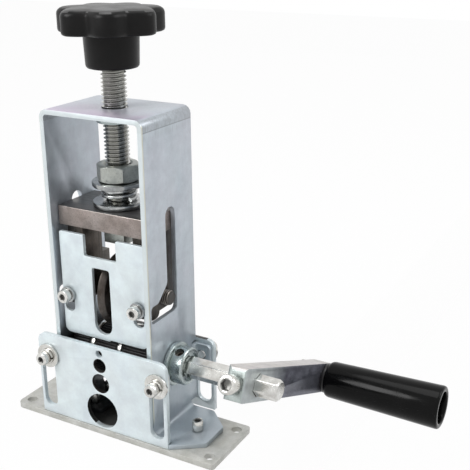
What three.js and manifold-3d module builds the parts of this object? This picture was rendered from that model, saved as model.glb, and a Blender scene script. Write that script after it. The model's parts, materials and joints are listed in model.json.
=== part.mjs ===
// Hand crank wire stripper, in millimetres, +Z up.
// The origin is on the axis of the pressure screw, at the underside of the base plate.
// X runs along the crank shaft towards the handle, and Y runs from the front guide plate to the rear one.
import * as THREE from "three";
import { mergeVertices } from "three/addons/utils/BufferGeometryUtils.js";
import Module from "manifold-3d";

const wasm = await Module();
wasm.setup();

// General clearances and finish of curves
const SEAT = 0.15; // gap between two faces that rest on each other
const FIT = 0.3; // radial gap between a shaft or screw and its hole
const ROUND = 24; // sides of a full circle
const CORNER_STEPS = 4; // steps of a rounded corner
const PAST = 1; // how far a cutting tool runs past a face
const SAME_POINT = 1e-4; // points closer than this are one

// Base plate
const BASE = { pastLeft: 29, pastRight: 37.7, front: -25.6, back: 14.6, thick: 3.1 };
const BASE_CORNER = { left: 3, right: 1.8 };
const BASE_HOLE = { dia: 5.5, inX: 5.4, inY: 6.1 };

// Sheet metal frame, bent to an upside-down U
const SHEET = 2.5;
const FRAME = { width: 60.6, depth: 42.3, top: 171.6, bend: 4.2, footBend: 2.5 };
const LUG = { reach: 9.8, height: 12.2, corner: 2.5, relief: 1.2, proud: 0.85 };
const FRONT_LUG_MIDDLE = 38.5;
const FRONT_CLAMP_SHIFT = 0.9; // the front pair of clamp screws stands to the right of its slots' middles
const REAR_LUG_MIDDLE = 35.6;
const RIGHT_FOOT = { reach: 26.9, back: 15.3, nose: 11.2, noseBack: 9.8, corner: 1.5 };
const RIGHT_FOOT_BEVEL = { alongX: 12.4, alongY: 11.5, round: 3 };
const LEFT_FOOT = { reach: 18, front: -14, back: 12, corner: 3 };

// Slot in each side wall: a straight run, with a toe at its foot for fitting the blade axle
const WALL_SLOT = { width: 8.6, middle: 0, top: 124.9, bottom: 68.3, toe: 19.2, toeTop: 77.7, shoulder: 85.6 };

// Guide plates in front of the frame and behind it
const GUIDE = { pastLeft: 10.3, pastRight: 10.8, thick: 2.5, corner: 4.5 };
const FRONT_GUIDE_HEIGHT = 47.6;
const REAR_GUIDE = { bottom: 1.4, height: 42.4 };
const GUIDE_SLOT = { pastWall: 4.5, width: 8.6, above: 4.1 };
const CABLE_HOLES = [
  { dia: 4.2, above: 44.1 },
  { dia: 8.0, above: 37.3 },
  { dia: 11.0, above: 26.9 },
  { dia: 19.8, above: 10.6 },
];

// Screws and washers of the sheet parts
const GUIDE_SCREW = { dia: 5, headDia: 7, headTall: 4, socket: 3 };
const COVER_SCREW = { dia: 4, headDia: 7, headTall: 4, socket: 3 };
const FOOT_SCREW = { dia: 4, headDia: 5.8, headTall: 5.6, socket: 3 };
const BROAD_WASHER = { dia: 13.4, thick: 1.2 };
const SPRING_WASHER = { dia: 8.6, thick: 1.2, split: 1.1 };
const COVER_WASHER = { dia: 8.6, thick: 1.6 };
const RIGHT_FOOT_SCREW = { pastWall: 16.5, y: -4.9 };
const LEFT_FOOT_SCREW = { pastWall: 9.3, front: -8, rear: 6 };

// Crank shaft with its bushes, collar and rollers
const SHAFT = { height: 38.8, dia: 10, acrossFlats: 10, pastBush: 3.2, pastArm: 12.4, chamfer: 1.3 };
const BUSH = { flangeDia: 23.6, flangeThick: 2.5, sleeveDia: 13.6, inside: 0.8 };
const COLLAR = { dia: 20, length: 6.8, recessDia: 15.4, recess: 1.4 };
const SET_SCREW = { dia: 4.6, long: 2.6, socket: 2.5, angle: 22 };
const CLIP = { dia: 16, thick: 1.2, split: 7 };
const ROLLER = { dia: 30.4, gap: 0.2 };
const SPACER_RING = { dia: 30.4, width: 2.7, leftMiddle: -13, rightMiddle: 4.2 };

// Crank arm and handle
const ARM = { angle: 23.8, pastCollar: 29.1, thick: 10.9, width: 17.2, front: 16.1, length: 94, beyond: 12 };
const ARM_CORNER = { clamp: 1.5, end: 6.6, inner: 3, outer: 1 };
const ARM_SCREW = { dia: 6, headDia: 10, headTall: 6, socket: 5, neck: 3 };
const SPINDLE = { threadDia: 8, dia: 10, headDia: 14, headTall: 5, socket: 6, nutFlats: 13, nutTall: 6.2 };
const GRIP = { innerDia: 21.4, outerDia: 24.8, length: 68.9, edge: 1.6, boreDia: 18, boreDeep: 50 };
const GRIP_WASHER = { dia: 17.5, thick: 1.9 };

// Pressure screw, knob and spring stack
const ROD = { dia: 12.7, tailDia: 8, bottom: 102.6, intoRim: 4.5 };
const KNOB = { dia: 52.6, valley: 43.4, lobes: 7, lobeAngle: -57.5, hubDia: 27.2, hubFootDia: 25.8 };
const KNOB_HEIGHTS = { foot: 190.8, stem: 16.4, rim: 10.6, crown: 2, edge: 1.7 };
const WELD_NUT = { dia: 19, tall: 4.5 };
const NUT = { acrossFlats: 20, tall: 8.6, turn: 16.7, chamfer: 1.1 };
const PLAIN_WASHER = { dia: 27, bore: 13.5, thick: 2.4 };
const SPRING = { wire: 2.2, middleRadius: 8.2, turns: 2, pitch: 2.6, stepsPerTurn: 8, sides: 5 };
const RETAINER = { side: 13, tall: 8.8, corner: 0.8 };

// Blade carriage
const BLOCK = { bottom: 111.5, tall: 10, front: -16, rear: 14, side: 0.4, corner: 0.6 };
const AXLE = { dia: 8, height: 75.5, intoWall: 1.8 };
const CHEEK = { gap: 2.6, thick: 9.6, front: -12, rear: 9, below: 6, corner: 1.5 };
const CHEEK_TOE = { front: -16.3, rear: -4.8, above: 24.5, below: 9.2, frontCorner: 6, rearCorner: 5 };
const LEFT_CHEEK_STEP = { above: 16.5, rear: 3.2 };
const COVER_TAP = { end: -7.5 };
const BLADE = { dia: 40, thick: 3.1, middle: -1, bevel: 2.2 };
const BLADE_HUB = { dia: 14, flangeDia: 25, flangeThick: 2.6 };

// Cover plate on the carriage
const COVER = { front: -18.5, thick: 2, bottom: 52.4, top: 108.8, step: 0.8, stepAt: 3 };
const COVER_SIDE = { left: 1.9, right: 0.5, leftCorner: 3.2, rightCorner: 4.5 };
const NOTCH = { width: 20, middle: -0.4, bottom: 97.6 };
const SIGHT_SLOT = { width: 10.9, middle: -0.6, bottom: 55.6, top: 92.1, corner: 1.4 };
const COVER_SLOT = { inEdge: 3.3, width: 6.5, bottom: 64.6, screwHeight: 74.5 };

// Worked out from the sizes above
const halfWidth = FRAME.width / 2;
const halfDepth = FRAME.depth / 2;
const inWall = halfWidth - SHEET;
const footTop = BASE.thick + SEAT + SHEET;
const wallFoot = footTop + FRAME.footBend;
const lugFace = halfDepth + LUG.proud;
const guideInner = lugFace + SEAT;
const guideOuter = guideInner + GUIDE.thick;
const frontGuideBottom = BASE.thick + SEAT;
const blockTop = BLOCK.bottom + BLOCK.tall;
const lowerWasherFrom = blockTop + FIT;
const baseLeft = -halfWidth - BASE.pastLeft;
const baseRight = halfWidth + BASE.pastRight;
const guideLeft = -halfWidth - GUIDE.pastLeft;
const guideRight = halfWidth + GUIDE.pastRight;
const guideScrewX = halfWidth + GUIDE_SLOT.pastWall;
const clampX = (side, facing) => side * guideScrewX + (facing < 0 ? FRONT_CLAMP_SHIFT : 0);
const footScrews = [
  { name: "right_foot_screw", x: halfWidth + RIGHT_FOOT_SCREW.pastWall, y: RIGHT_FOOT_SCREW.y },
  { name: "left_foot_screw_front", x: LEFT_FOOT_SCREW.pastWall - inWall, y: LEFT_FOOT_SCREW.front },
  { name: "left_foot_screw_rear", x: LEFT_FOOT_SCREW.pastWall - inWall, y: LEFT_FOOT_SCREW.rear },
];
const bushEnd = halfWidth + SEAT + BUSH.flangeThick;
const collarLeft = bushEnd + SEAT;
const collarRight = collarLeft + COLLAR.length;
const setScrewX = collarLeft + (COLLAR.length - COLLAR.recess + SEAT) / 2;
const setScrewTurn = THREE.MathUtils.degToRad(90 + SET_SCREW.angle + ARM.angle);
const armInner = collarRight + ARM.pastCollar;
const armOuter = armInner + ARM.thick;
const shaftLeft = -bushEnd - SHAFT.pastBush;
const shaftRight = armOuter + SHAFT.pastArm;
const knobRim = KNOB_HEIGHTS.foot + KNOB_HEIGHTS.stem;
const knobShoulder = knobRim + KNOB_HEIGHTS.rim;
const knobCrown = knobShoulder + KNOB_HEIGHTS.crown;
const rodTop = knobRim + ROD.intoRim;
const cheekOuter = inWall - CHEEK.gap;
const cheekInner = cheekOuter - CHEEK.thick;
const coverScrewX = cheekOuter - COVER_SLOT.inEdge;
const ceiling = FRAME.top - SHEET;

// Materials
const finish = (color, roughness, metalness) => new THREE.MeshStandardMaterial({ color, roughness, metalness });
const ZINC = finish(0xc4cdd2, 0.35, 0.9);
const BRIGHT_ZINC = finish(0xd8dcdd, 0.25, 1.0);
const BASE_ZINC = finish(0xc9c9c6, 0.45, 0.8);
const RAW_STEEL = finish(0x8f8781, 0.6, 0.8);
const DARK_STEEL = finish(0x4b4844, 0.5, 0.8);
const BLACK_STEEL = finish(0x17181a, 0.45, 0.7);
const SATIN_BLACK = finish(0x1c1c1d, 0.5, 0.0);
const GLOSS_BLACK = finish(0x0c0c0d, 0.15, 0.0);

// Solids: joining and cutting
function solid(geometry) {
  const bare = geometry.clone();
  bare.deleteAttribute("normal");
  bare.deleteAttribute("uv");
  const merged = mergeVertices(bare, SAME_POINT);
  const triangles = [];
  for (let i = 0; i < merged.index.count; i += 3) {
    const [a, b, c] = merged.index.array.subarray(i, i + 3);
    if (a !== b && b !== c && c !== a) triangles.push(a, b, c);
  }
  const vertProperties = new Float32Array(merged.attributes.position.array);
  return new wasm.Manifold(new wasm.Mesh({ numProp: 3, vertProperties, triVerts: new Uint32Array(triangles) }));
}

function cut(body, ...tools) {
  return tools.reduce((left, tool) => left.subtract(tool), body);
}

function join(first, ...others) {
  return others.reduce((whole, piece) => whole.add(piece), first);
}

function piece(name, body, material) {
  const mesh = body.getMesh();
  const indexed = new THREE.BufferGeometry();
  indexed.setAttribute("position", new THREE.BufferAttribute(new Float32Array(mesh.vertProperties), 3));
  indexed.setIndex(new THREE.BufferAttribute(new Uint32Array(mesh.triVerts), 1));
  const geometry = indexed.toNonIndexed();
  geometry.computeVertexNormals();
  const made = new THREE.Mesh(geometry, material);
  made.name = name;
  return made;
}

// Outlines: each corner is [x, y, radius]
function cornerPoints(corners) {
  const points = [];
  corners.forEach(([x, y, radius = 0], i) => {
    const here = new THREE.Vector2(x, y);
    if (radius === 0) {
      points.push(here);
      return;
    }
    const before = corners[(i + corners.length - 1) % corners.length];
    const after = corners[(i + 1) % corners.length];
    const back = new THREE.Vector2(before[0] - x, before[1] - y).normalize();
    const on = new THREE.Vector2(after[0] - x, after[1] - y).normalize();
    const half = Math.acos(THREE.MathUtils.clamp(back.dot(on), -1, 1)) / 2;
    const centre = back.clone().add(on).normalize().multiplyScalar(radius / Math.sin(half)).add(here);
    const start = back.clone().multiplyScalar(radius / Math.tan(half)).add(here).sub(centre);
    const end = on.clone().multiplyScalar(radius / Math.tan(half)).add(here).sub(centre);
    const sweep = Math.atan2(start.cross(end), start.dot(end));
    for (let k = 0; k <= CORNER_STEPS; k++) {
      points.push(start.clone().rotateAround(new THREE.Vector2(), (sweep * k) / CORNER_STEPS).add(centre));
    }
  });
  return points.filter((point, i) => point.distanceTo(points.at(i - 1)) > SAME_POINT);
}

const outline = (corners) => new THREE.Shape(cornerPoints(corners));

const polygonShape = (points) => new THREE.Shape(points);

function rectangle(x0, y0, x1, y1, radius = 0) {
  return [
    [x0, y0, radius],
    [x1, y0, radius],
    [x1, y1, radius],
    [x0, y1, radius],
  ];
}

function circle(x, y, dia, sides = ROUND, turn = 0) {
  return Array.from({ length: sides }, (_, i) => {
    const angle = turn + (2 * Math.PI * i) / sides;
    return new THREE.Vector2(x + (dia / 2) * Math.cos(angle), y + (dia / 2) * Math.sin(angle));
  });
}

function slot(x, width, bottom, top) {
  return cornerPoints(rectangle(x - width / 2, bottom, x + width / 2, top, width / 2));
}

function arc(cx, cy, radius, fromDegrees, toDegrees, steps = CORNER_STEPS) {
  return Array.from({ length: steps + 1 }, (_, i) => {
    const angle = THREE.MathUtils.degToRad(fromDegrees + ((toDegrees - fromDegrees) * i) / steps);
    return new THREE.Vector2(cx + radius * Math.cos(angle), cy + radius * Math.sin(angle));
  });
}

// Prisms along Z (outline in X, Y), along Y (outline in X, Z) and along X (outline in Y, Z)
function prism(shape, length) {
  return new THREE.ExtrudeGeometry(shape, { depth: length, bevelEnabled: false, curveSegments: 1 });
}

function prismZ(shape, from, to) {
  return solid(prism(shape, to - from).translate(0, 0, from));
}

function prismY(shape, from, to) {
  return solid(prism(shape, to - from).rotateX(Math.PI / 2).translate(0, to, 0));
}

function prismX(shape, from, to) {
  const turn = new THREE.Matrix4().set(0, 0, 1, 0, 1, 0, 0, 0, 0, 1, 0, 0, 0, 0, 0, 1);
  return solid(prism(shape, to - from).applyMatrix4(turn).translate(from, 0, 0));
}

const boxSolid = (x0, x1, y0, y1, z0, z1) => prismZ(outline(rectangle(x0, y0, x1, y1)), z0, z1);

// A plate with holes: along is prismX, prismY or prismZ, and each hole is a list of points
function pierced(along, corners, holes, from, to) {
  const tools = holes.map((points) => along(polygonShape(points), from - PAST, to + PAST));
  return cut(along(outline(corners), from, to), ...tools);
}

const rodX = (dia, y, z, from, to, sides = ROUND) => prismX(polygonShape(circle(y, z, dia, sides)), from, to);
const rodY = (dia, x, z, from, to, sides = ROUND) => prismY(polygonShape(circle(x, z, dia, sides)), from, to);
const rodZ = (dia, x, y, from, to, sides = ROUND) => prismZ(polygonShape(circle(x, y, dia, sides)), from, to);

// Turned solids about Z: the profile is a list of [radius, height], upwards along the outside
function turned(profile, sides = ROUND) {
  const points = profile.map(([radius, height]) => new THREE.Vector2(radius, height));
  return solid(new THREE.LatheGeometry(points, sides).rotateX(Math.PI / 2));
}

function ring(outerDia, innerDia, from, to, sides = ROUND) {
  const [outer, inner] = [outerDia / 2, innerDia / 2];
  return turned([[inner, from], [outer, from], [outer, to], [inner, to], [inner, from]], sides);
}

function hexagon(acrossFlats, turnDegrees = 0) {
  const turn = THREE.MathUtils.degToRad(turnDegrees);
  return polygonShape(circle(0, 0, acrossFlats / Math.cos(Math.PI / 6), 6, turn));
}

// A socket head screw along Z: its head stands on the plane z = 0 and its shank hangs below
function socketScrew(size, length) {
  const edge = size.headDia * 0.06;
  const [head, shank] = [size.headDia / 2, size.dia / 2];
  const body = turned([
    [0, -length],
    [shank - edge, -length],
    [shank, edge - length],
    [shank, 0],
    [head, 0],
    [head, size.headTall - edge],
    [head - edge, size.headTall],
    [0, size.headTall],
  ]);
  return cut(body, prismZ(hexagon(size.socket), size.headTall / 2, size.headTall + PAST));
}

function splitRing(outerDia, innerDia, thick, split) {
  const gap = boxSolid(0, outerDia, -split / 2, split / 2, -PAST, thick + PAST);
  return cut(ring(outerDia, innerDia, 0, thick), gap);
}

// Base plate with its four bench holes and the tapped holes of the feet
function basePlate() {
  const { dia, inX, inY } = BASE_HOLE;
  const holes = [];
  for (const x of [baseLeft + inX, baseRight - inX]) {
    for (const y of [BASE.front + inY, BASE.back - inY]) holes.push(circle(x, y, dia));
  }
  for (const { x, y } of footScrews) holes.push(circle(x, y, FOOT_SCREW.dia + 2 * FIT));
  const corners = [
    [baseLeft, BASE.front, BASE_CORNER.left],
    [baseRight, BASE.front, BASE_CORNER.right],
    [baseRight, BASE.back, BASE_CORNER.right],
    [baseLeft, BASE.back, BASE_CORNER.left],
  ];
  return piece("base_plate", pierced(prismZ, corners, holes, 0, BASE.thick), BASE_ZINC);
}

// The frame's bent strip, its two feet and its four lugs
function archSolid() {
  const inner = FRAME.bend - SHEET;
  const top = FRAME.top - FRAME.bend;
  const bendX = halfWidth - FRAME.bend;
  const shape = polygonShape([
    new THREE.Vector2(halfWidth, wallFoot),
    ...arc(bendX, top, FRAME.bend, 0, 90),
    ...arc(-bendX, top, FRAME.bend, 90, 180),
    new THREE.Vector2(-halfWidth, wallFoot),
    new THREE.Vector2(-inWall, wallFoot),
    ...arc(-bendX, top, inner, 180, 90),
    ...arc(bendX, top, inner, 90, 0),
    new THREE.Vector2(inWall, wallFoot),
  ]);
  return prismY(shape, -halfDepth, halfDepth);
}

// A strip that leaves a wall and bends towards +X: face is the wall's right-hand face
function footSolid(face, reach, plan) {
  const bend = FRAME.footBend;
  const end = face + reach;
  const shape = polygonShape([
    ...arc(face + bend, wallFoot, bend, 180, 270),
    new THREE.Vector2(end, footTop),
    new THREE.Vector2(end, footTop - SHEET),
    ...arc(face + bend, wallFoot, bend + SHEET, 270, 180),
  ]);
  const strip = prismY(shape, -guideOuter, halfDepth);
  return strip.intersect(prismZ(outline(plan), 0, wallFoot + PAST));
}

function rightFoot() {
  const { reach, back, nose, noseBack, corner } = RIGHT_FOOT;
  const { alongX, alongY, round } = RIGHT_FOOT_BEVEL;
  const end = halfWidth + reach;
  const noseStart = guideRight + FIT;
  return footSolid(halfWidth, reach, [
    [inWall - PAST, -halfDepth],
    [noseStart, -halfDepth],
    [noseStart, -guideOuter],
    [end - 1.5, noseBack - guideOuter, 1],
    [end, nose - guideOuter, 1],
    [end, back - alongY, corner],
    [end - alongX, back, round],
    [inWall - PAST, back],
  ]);
}

function leftFoot() {
  const { reach, front, back, corner } = LEFT_FOOT;
  const plan = rectangle(-halfWidth - PAST, front, reach - inWall, back);
  plan[1][2] = corner;
  plan[2][2] = corner;
  return footSolid(-inWall, reach, plan);
}

function lugSolid(side, facing, middle) {
  const bend = FRAME.footBend;
  const [low, high] = [middle - LUG.height / 2, middle + LUG.height / 2];
  const end = halfWidth + LUG.reach;
  const bendY = lugFace - SHEET - bend;
  const place = (point) => new THREE.Vector2(side * point.x, facing * point.y);
  const shape = polygonShape(
    [
      ...arc(halfWidth + bend, bendY, bend, 180, 90),
      new THREE.Vector2(end, lugFace - SHEET),
      new THREE.Vector2(end, lugFace),
      ...arc(halfWidth + bend, bendY, bend + SHEET, 90, 180),
    ].map(place),
  );
  const face = rectangle(side * (inWall - PAST), low, side * end, high);
  face[1][2] = LUG.corner;
  face[2][2] = LUG.corner;
  return prismZ(shape, low, high).intersect(prismY(outline(face), -guideOuter, guideOuter));
}

function lugRelief(side, facing, middle) {
  const reach = LUG.height / 2 + LUG.relief;
  const bendY = lugFace - SHEET - FRAME.footBend;
  const y = [facing * bendY, facing * (halfDepth + PAST)].sort((a, b) => a - b);
  const x = [side * (inWall - PAST), side * (halfWidth + PAST)].sort((a, b) => a - b);
  return boxSolid(x[0], x[1], y[0], y[1], middle - reach, middle + reach);
}

function wallSlotShape() {
  const { width, middle, top, bottom, toe, toeTop, shoulder } = WALL_SLOT;
  const [front, back] = [middle - width / 2, middle + width / 2];
  return outline([
    [back, bottom, 3],
    [back, top, width / 2],
    [front, top, width / 2],
    [front, shoulder, 4],
    [front - width, toeTop, 3],
    [middle - toe, toeTop, 2],
    [middle - toe, bottom, 2],
  ]);
}

const LUGS = [
  { side: 1, facing: -1, middle: FRONT_LUG_MIDDLE },
  { side: -1, facing: -1, middle: FRONT_LUG_MIDDLE },
  { side: 1, facing: 1, middle: REAR_LUG_MIDDLE },
  { side: -1, facing: 1, middle: REAR_LUG_MIDDLE },
];

function frame() {
  const across = [-halfWidth - PAST, halfWidth + PAST];
  const screwHole = GUIDE_SCREW.dia + 2 * FIT;
  const footHole = FOOT_SCREW.dia + 2 * FIT;
  const arch = cut(archSolid(), ...LUGS.map(({ side, facing, middle }) => lugRelief(side, facing, middle)));
  const bent = join(
    arch,
    rightFoot(),
    leftFoot(),
    ...LUGS.map(({ side, facing, middle }) => lugSolid(side, facing, middle)),
  );
  const lugHoles = LUGS.map(({ side, facing, middle }) => {
    const y = [0, facing * guideOuter].sort((a, b) => a - b);
    return rodY(screwHole, clampX(side, facing), middle, y[0], y[1]);
  });
  const footHoles = footScrews.map(({ x, y }) => rodZ(footHole, x, y, 0, wallFoot));
  const body = cut(
    bent,
    prismX(wallSlotShape(), ...across),
    rodX(BUSH.sleeveDia + 2 * FIT, 0, SHAFT.height, ...across),
    rodZ(ROD.dia + 2 * FIT, 0, 0, ceiling - PAST, FRAME.top + PAST),
    ...lugHoles,
    ...footHoles,
  );
  return piece("frame", body, ZINC);
}

function weldNut() {
  const top = ceiling - SEAT;
  return piece("top_weld_nut", ring(WELD_NUT.dia, ROD.dia + 2 * FIT, top - WELD_NUT.tall, top), ZINC);
}

// Guide plates: cable holes in the middle and a height slot at each side
function guidePlate(name, bottom, height, screwHeight, from, to) {
  const top = bottom + height;
  const slotTop = screwHeight + GUIDE_SLOT.width / 2;
  const corners = rectangle(guideLeft, bottom, guideRight, top, GUIDE.corner);
  corners[0][2] = 0;
  corners[1][2] = 0;
  const fitting = CABLE_HOLES.filter(({ dia, above }) => above + dia / 2 < height);
  const holes = fitting.map(({ dia, above }) => circle(0, bottom + above, dia));
  for (const side of [-1, 1]) {
    holes.push(slot(side * guideScrewX, GUIDE_SLOT.width, bottom + GUIDE_SLOT.above, slotTop));
  }
  return piece(name, pierced(prismY, corners, holes, from, to), ZINC);
}

function guidePlates() {
  const group = new THREE.Group();
  group.add(guidePlate("front_guide_plate", frontGuideBottom, FRONT_GUIDE_HEIGHT, FRONT_LUG_MIDDLE, -guideOuter, -guideInner));
  group.add(guidePlate("rear_guide_plate", REAR_GUIDE.bottom, REAR_GUIDE.height, REAR_LUG_MIDDLE, guideInner, guideOuter));
  return group;
}

// The screw, spring washer and broad washer that hold a guide plate to a lug
function guideClamp(side, facing, middle) {
  const name = `${facing < 0 ? "front" : "rear"}_${side < 0 ? "left" : "right"}`;
  const stack = new THREE.Group();
  const broad = piece(`${name}_broad_washer`, ring(BROAD_WASHER.dia, GUIDE_SCREW.dia + 2 * FIT, 0, BROAD_WASHER.thick), BRIGHT_ZINC);
  const sprung = splitRing(SPRING_WASHER.dia, GUIDE_SCREW.dia + 2 * FIT, SPRING_WASHER.thick, SPRING_WASHER.split);
  const lock = piece(`${name}_spring_washer`, sprung, BRIGHT_ZINC);
  broad.position.z = SEAT;
  lock.position.z = broad.position.z + BROAD_WASHER.thick + SEAT;
  const underHead = lock.position.z + SPRING_WASHER.thick + SEAT;
  const screw = piece(`${name}_clamp_screw`, socketScrew(GUIDE_SCREW, underHead + guideOuter - lugFace + SHEET), BRIGHT_ZINC);
  screw.position.z = underHead;
  stack.add(broad, lock, screw);
  stack.rotation.x = (-facing * Math.PI) / 2;
  stack.position.set(clampX(side, facing), facing * guideOuter, middle);
  return stack;
}

function footScrewPieces() {
  const group = new THREE.Group();
  for (const { name, x, y } of footScrews) {
    const screw = piece(name, socketScrew(FOOT_SCREW, footTop), BRIGHT_ZINC);
    screw.position.set(x, y, footTop + SEAT);
    group.add(screw);
  }
  return group;
}

// Bushes in the side walls: each is a sleeve with a flange outside the wall, turned about Z and laid along X
function bush(side) {
  const bore = SHAFT.dia / 2 + FIT;
  const [sleeve, flange] = [BUSH.sleeveDia / 2, BUSH.flangeDia / 2];
  const inner = inWall - BUSH.inside;
  const face = halfWidth + SEAT;
  const body = turned([
    [bore, inner],
    [sleeve, inner],
    [sleeve, face],
    [flange, face],
    [flange, face + BUSH.flangeThick - 0.6],
    [flange - 0.6, face + BUSH.flangeThick],
    [bore, face + BUSH.flangeThick],
    [bore, inner],
  ]);
  const made = piece(side < 0 ? "left_bush" : "right_bush", body, ZINC);
  made.rotation.y = (side * Math.PI) / 2;
  made.position.z = SHAFT.height;
  return made;
}

// Everything on the crank shaft, in a frame whose X is the shaft's axis and whose Y runs along the arm
function alongX(body, name, material) {
  const made = piece(name, body, material);
  made.rotation.set(0, Math.PI / 2, 0);
  return made;
}

function crankShaft() {
  const hexStart = collarRight - COLLAR.recess + FIT;
  const corner = SHAFT.acrossFlats / 2 / Math.cos(Math.PI / 6);
  const turnedEnd = corner - SHAFT.chamfer;
  const chamfers = turned([
    [0, hexStart],
    [turnedEnd + 0.6, hexStart],
    [corner + FIT, hexStart + SHAFT.chamfer],
    [corner + FIT, shaftRight - SHAFT.chamfer],
    [turnedEnd, shaftRight],
    [0, shaftRight],
  ]);
  const bar = prismZ(hexagon(SHAFT.acrossFlats), hexStart, shaftRight).intersect(chamfers);
  const journal = rodZ(SHAFT.dia, 0, 0, shaftLeft, hexStart + PAST);
  const groove = ring(SHAFT.dia + PAST, SHAFT.dia - PAST, -bushEnd - CLIP.thick - 2 * SEAT, -bushEnd);
  return alongX(cut(join(journal, bar), groove), "crank_shaft", ZINC);
}

function shaftCollar() {
  const bore = SHAFT.dia / 2 + FIT;
  const [outer, recess] = [COLLAR.dia / 2, COLLAR.recessDia / 2];
  const body = turned([
    [bore, collarLeft],
    [outer, collarLeft],
    [outer, collarRight - 0.6],
    [outer - 0.6, collarRight],
    [recess, collarRight],
    [recess, collarRight - COLLAR.recess],
    [bore, collarRight - COLLAR.recess],
    [bore, collarLeft],
  ]);
  const flat = alongX(body, "shaft_collar", ZINC);
  flat.updateMatrix();
  const laid = solid(flat.geometry.clone().applyMatrix4(flat.matrix));
  const hole = prismZ(polygonShape(circle(setScrewX, 0, SET_SCREW.dia + 2 * FIT, 20)), 0, COLLAR.dia);
  const drill = solid(geometryOf(hole).rotateX(setScrewTurn - Math.PI / 2));
  return piece("shaft_collar", cut(laid, drill), ZINC);
}

function geometryOf(body) {
  return piece("tool", body, ZINC).geometry;
}

function collarScrew() {
  const { dia, long, socket } = SET_SCREW;
  const grub = cut(rodZ(dia, 0, 0, 0, long, 20), prismZ(hexagon(socket), long / 2, long + PAST));
  const made = piece("collar_set_screw", grub, DARK_STEEL);
  const holder = new THREE.Group();
  made.position.set(setScrewX, 0, SHAFT.dia / 2 + FIT);
  holder.add(made);
  holder.rotation.x = setScrewTurn - Math.PI / 2;
  return holder;
}

function rollers() {
  const bore = SHAFT.dia + 2 * FIT;
  const half = SPACER_RING.width / 2;
  const end = inWall - BUSH.inside - FIT;
  const spans = [
    ["left_side_roller", -end, SPACER_RING.leftMiddle - half, ROLLER.dia, BLACK_STEEL],
    ["left_spacer_ring", SPACER_RING.leftMiddle - half, SPACER_RING.leftMiddle + half, SPACER_RING.dia, BRIGHT_ZINC],
    ["feed_wheel", SPACER_RING.leftMiddle + half, SPACER_RING.rightMiddle - half, ROLLER.dia, BLACK_STEEL],
    ["right_spacer_ring", SPACER_RING.rightMiddle - half, SPACER_RING.rightMiddle + half, SPACER_RING.dia, BRIGHT_ZINC],
    ["right_side_roller", SPACER_RING.rightMiddle + half, end, ROLLER.dia, BLACK_STEEL],
  ];
  return spans.map(([name, from, to, dia, material]) => {
    return alongX(ring(dia, bore, from + ROLLER.gap / 2, to - ROLLER.gap / 2, 40), name, material);
  });
}

function shaftClip() {
  const made = alongX(splitRing(CLIP.dia, SHAFT.dia - PAST + 2 * FIT, CLIP.thick, CLIP.split), "shaft_clip", DARK_STEEL);
  made.position.x = -bushEnd - SEAT - CLIP.thick;
  return made;
}

function crankArm() {
  const half = ARM.width / 2;
  const end = ARM.length + ARM.beyond;
  const side = outline([
    [-ARM.front, -half, ARM_CORNER.clamp],
    [end, -half, ARM_CORNER.end],
    [end, half, ARM_CORNER.end],
    [-ARM.front, half, ARM_CORNER.clamp],
  ]);
  const plan = outline([
    [armInner, -ARM.front, ARM_CORNER.inner],
    [armOuter, -ARM.front, ARM_CORNER.outer],
    [armOuter, end + PAST],
    [armInner, end + PAST],
  ]);
  const bar = prismX(side, armInner, armOuter).intersect(prismZ(plan, -half - PAST, half + PAST));
  const socketHole = SHAFT.acrossFlats / Math.cos(Math.PI / 6) + 2 * FIT;
  const hexHole = prismX(polygonShape(circle(0, 0, socketHole, 6, Math.PI / 6)), armInner - PAST, armOuter + PAST);
  const middle = armInner + ARM.thick / 2;
  const screwHole = rodY(ARM_SCREW.dia + 2 * FIT, middle, 0, -ARM.front - PAST, 0, 24);
  const spindleHole = rodX(SPINDLE.threadDia + 2 * FIT, ARM.length, 0, armInner - PAST, armOuter + PAST);
  return piece("crank_arm", cut(bar, hexHole, screwHole, spindleHole), ZINC);
}

function armScrew() {
  const reach = ARM.front + ARM_SCREW.neck;
  const made = piece("arm_clamp_screw", socketScrew(ARM_SCREW, reach - SHAFT.acrossFlats / 2 - FIT), BRIGHT_ZINC);
  made.rotation.x = Math.PI / 2;
  made.position.set(armInner + ARM.thick / 2, -reach, 0);
  return made;
}

// Handle: a spindle screwed through the arm, and a tapered grip that turns on it
function handleSpindle() {
  const [thread, shoulder, head] = [SPINDLE.threadDia / 2, SPINDLE.dia / 2, SPINDLE.headDia / 2];
  const start = armInner - SEAT - SPINDLE.nutTall - 1.5;
  const seat = armOuter + SEAT;
  const headFrom = gripOuterEnd() - GRIP.boreDeep + FIT;
  const body = turned([
    [0, start],
    [thread - 0.6, start],
    [thread, start + 0.6],
    [thread, seat],
    [shoulder, seat],
    [shoulder, headFrom],
    [head, headFrom],
    [head, headFrom + SPINDLE.headTall],
    [0, headFrom + SPINDLE.headTall],
  ]);
  const socket = prismZ(hexagon(SPINDLE.socket), headFrom + 2, headFrom + SPINDLE.headTall + PAST);
  return alongX(cut(body, socket), "handle_spindle", BRIGHT_ZINC);
}

function gripInnerEnd() {
  return armOuter + 2 * SEAT + GRIP_WASHER.thick + SEAT;
}

function gripOuterEnd() {
  return gripInnerEnd() + GRIP.length;
}

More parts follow.
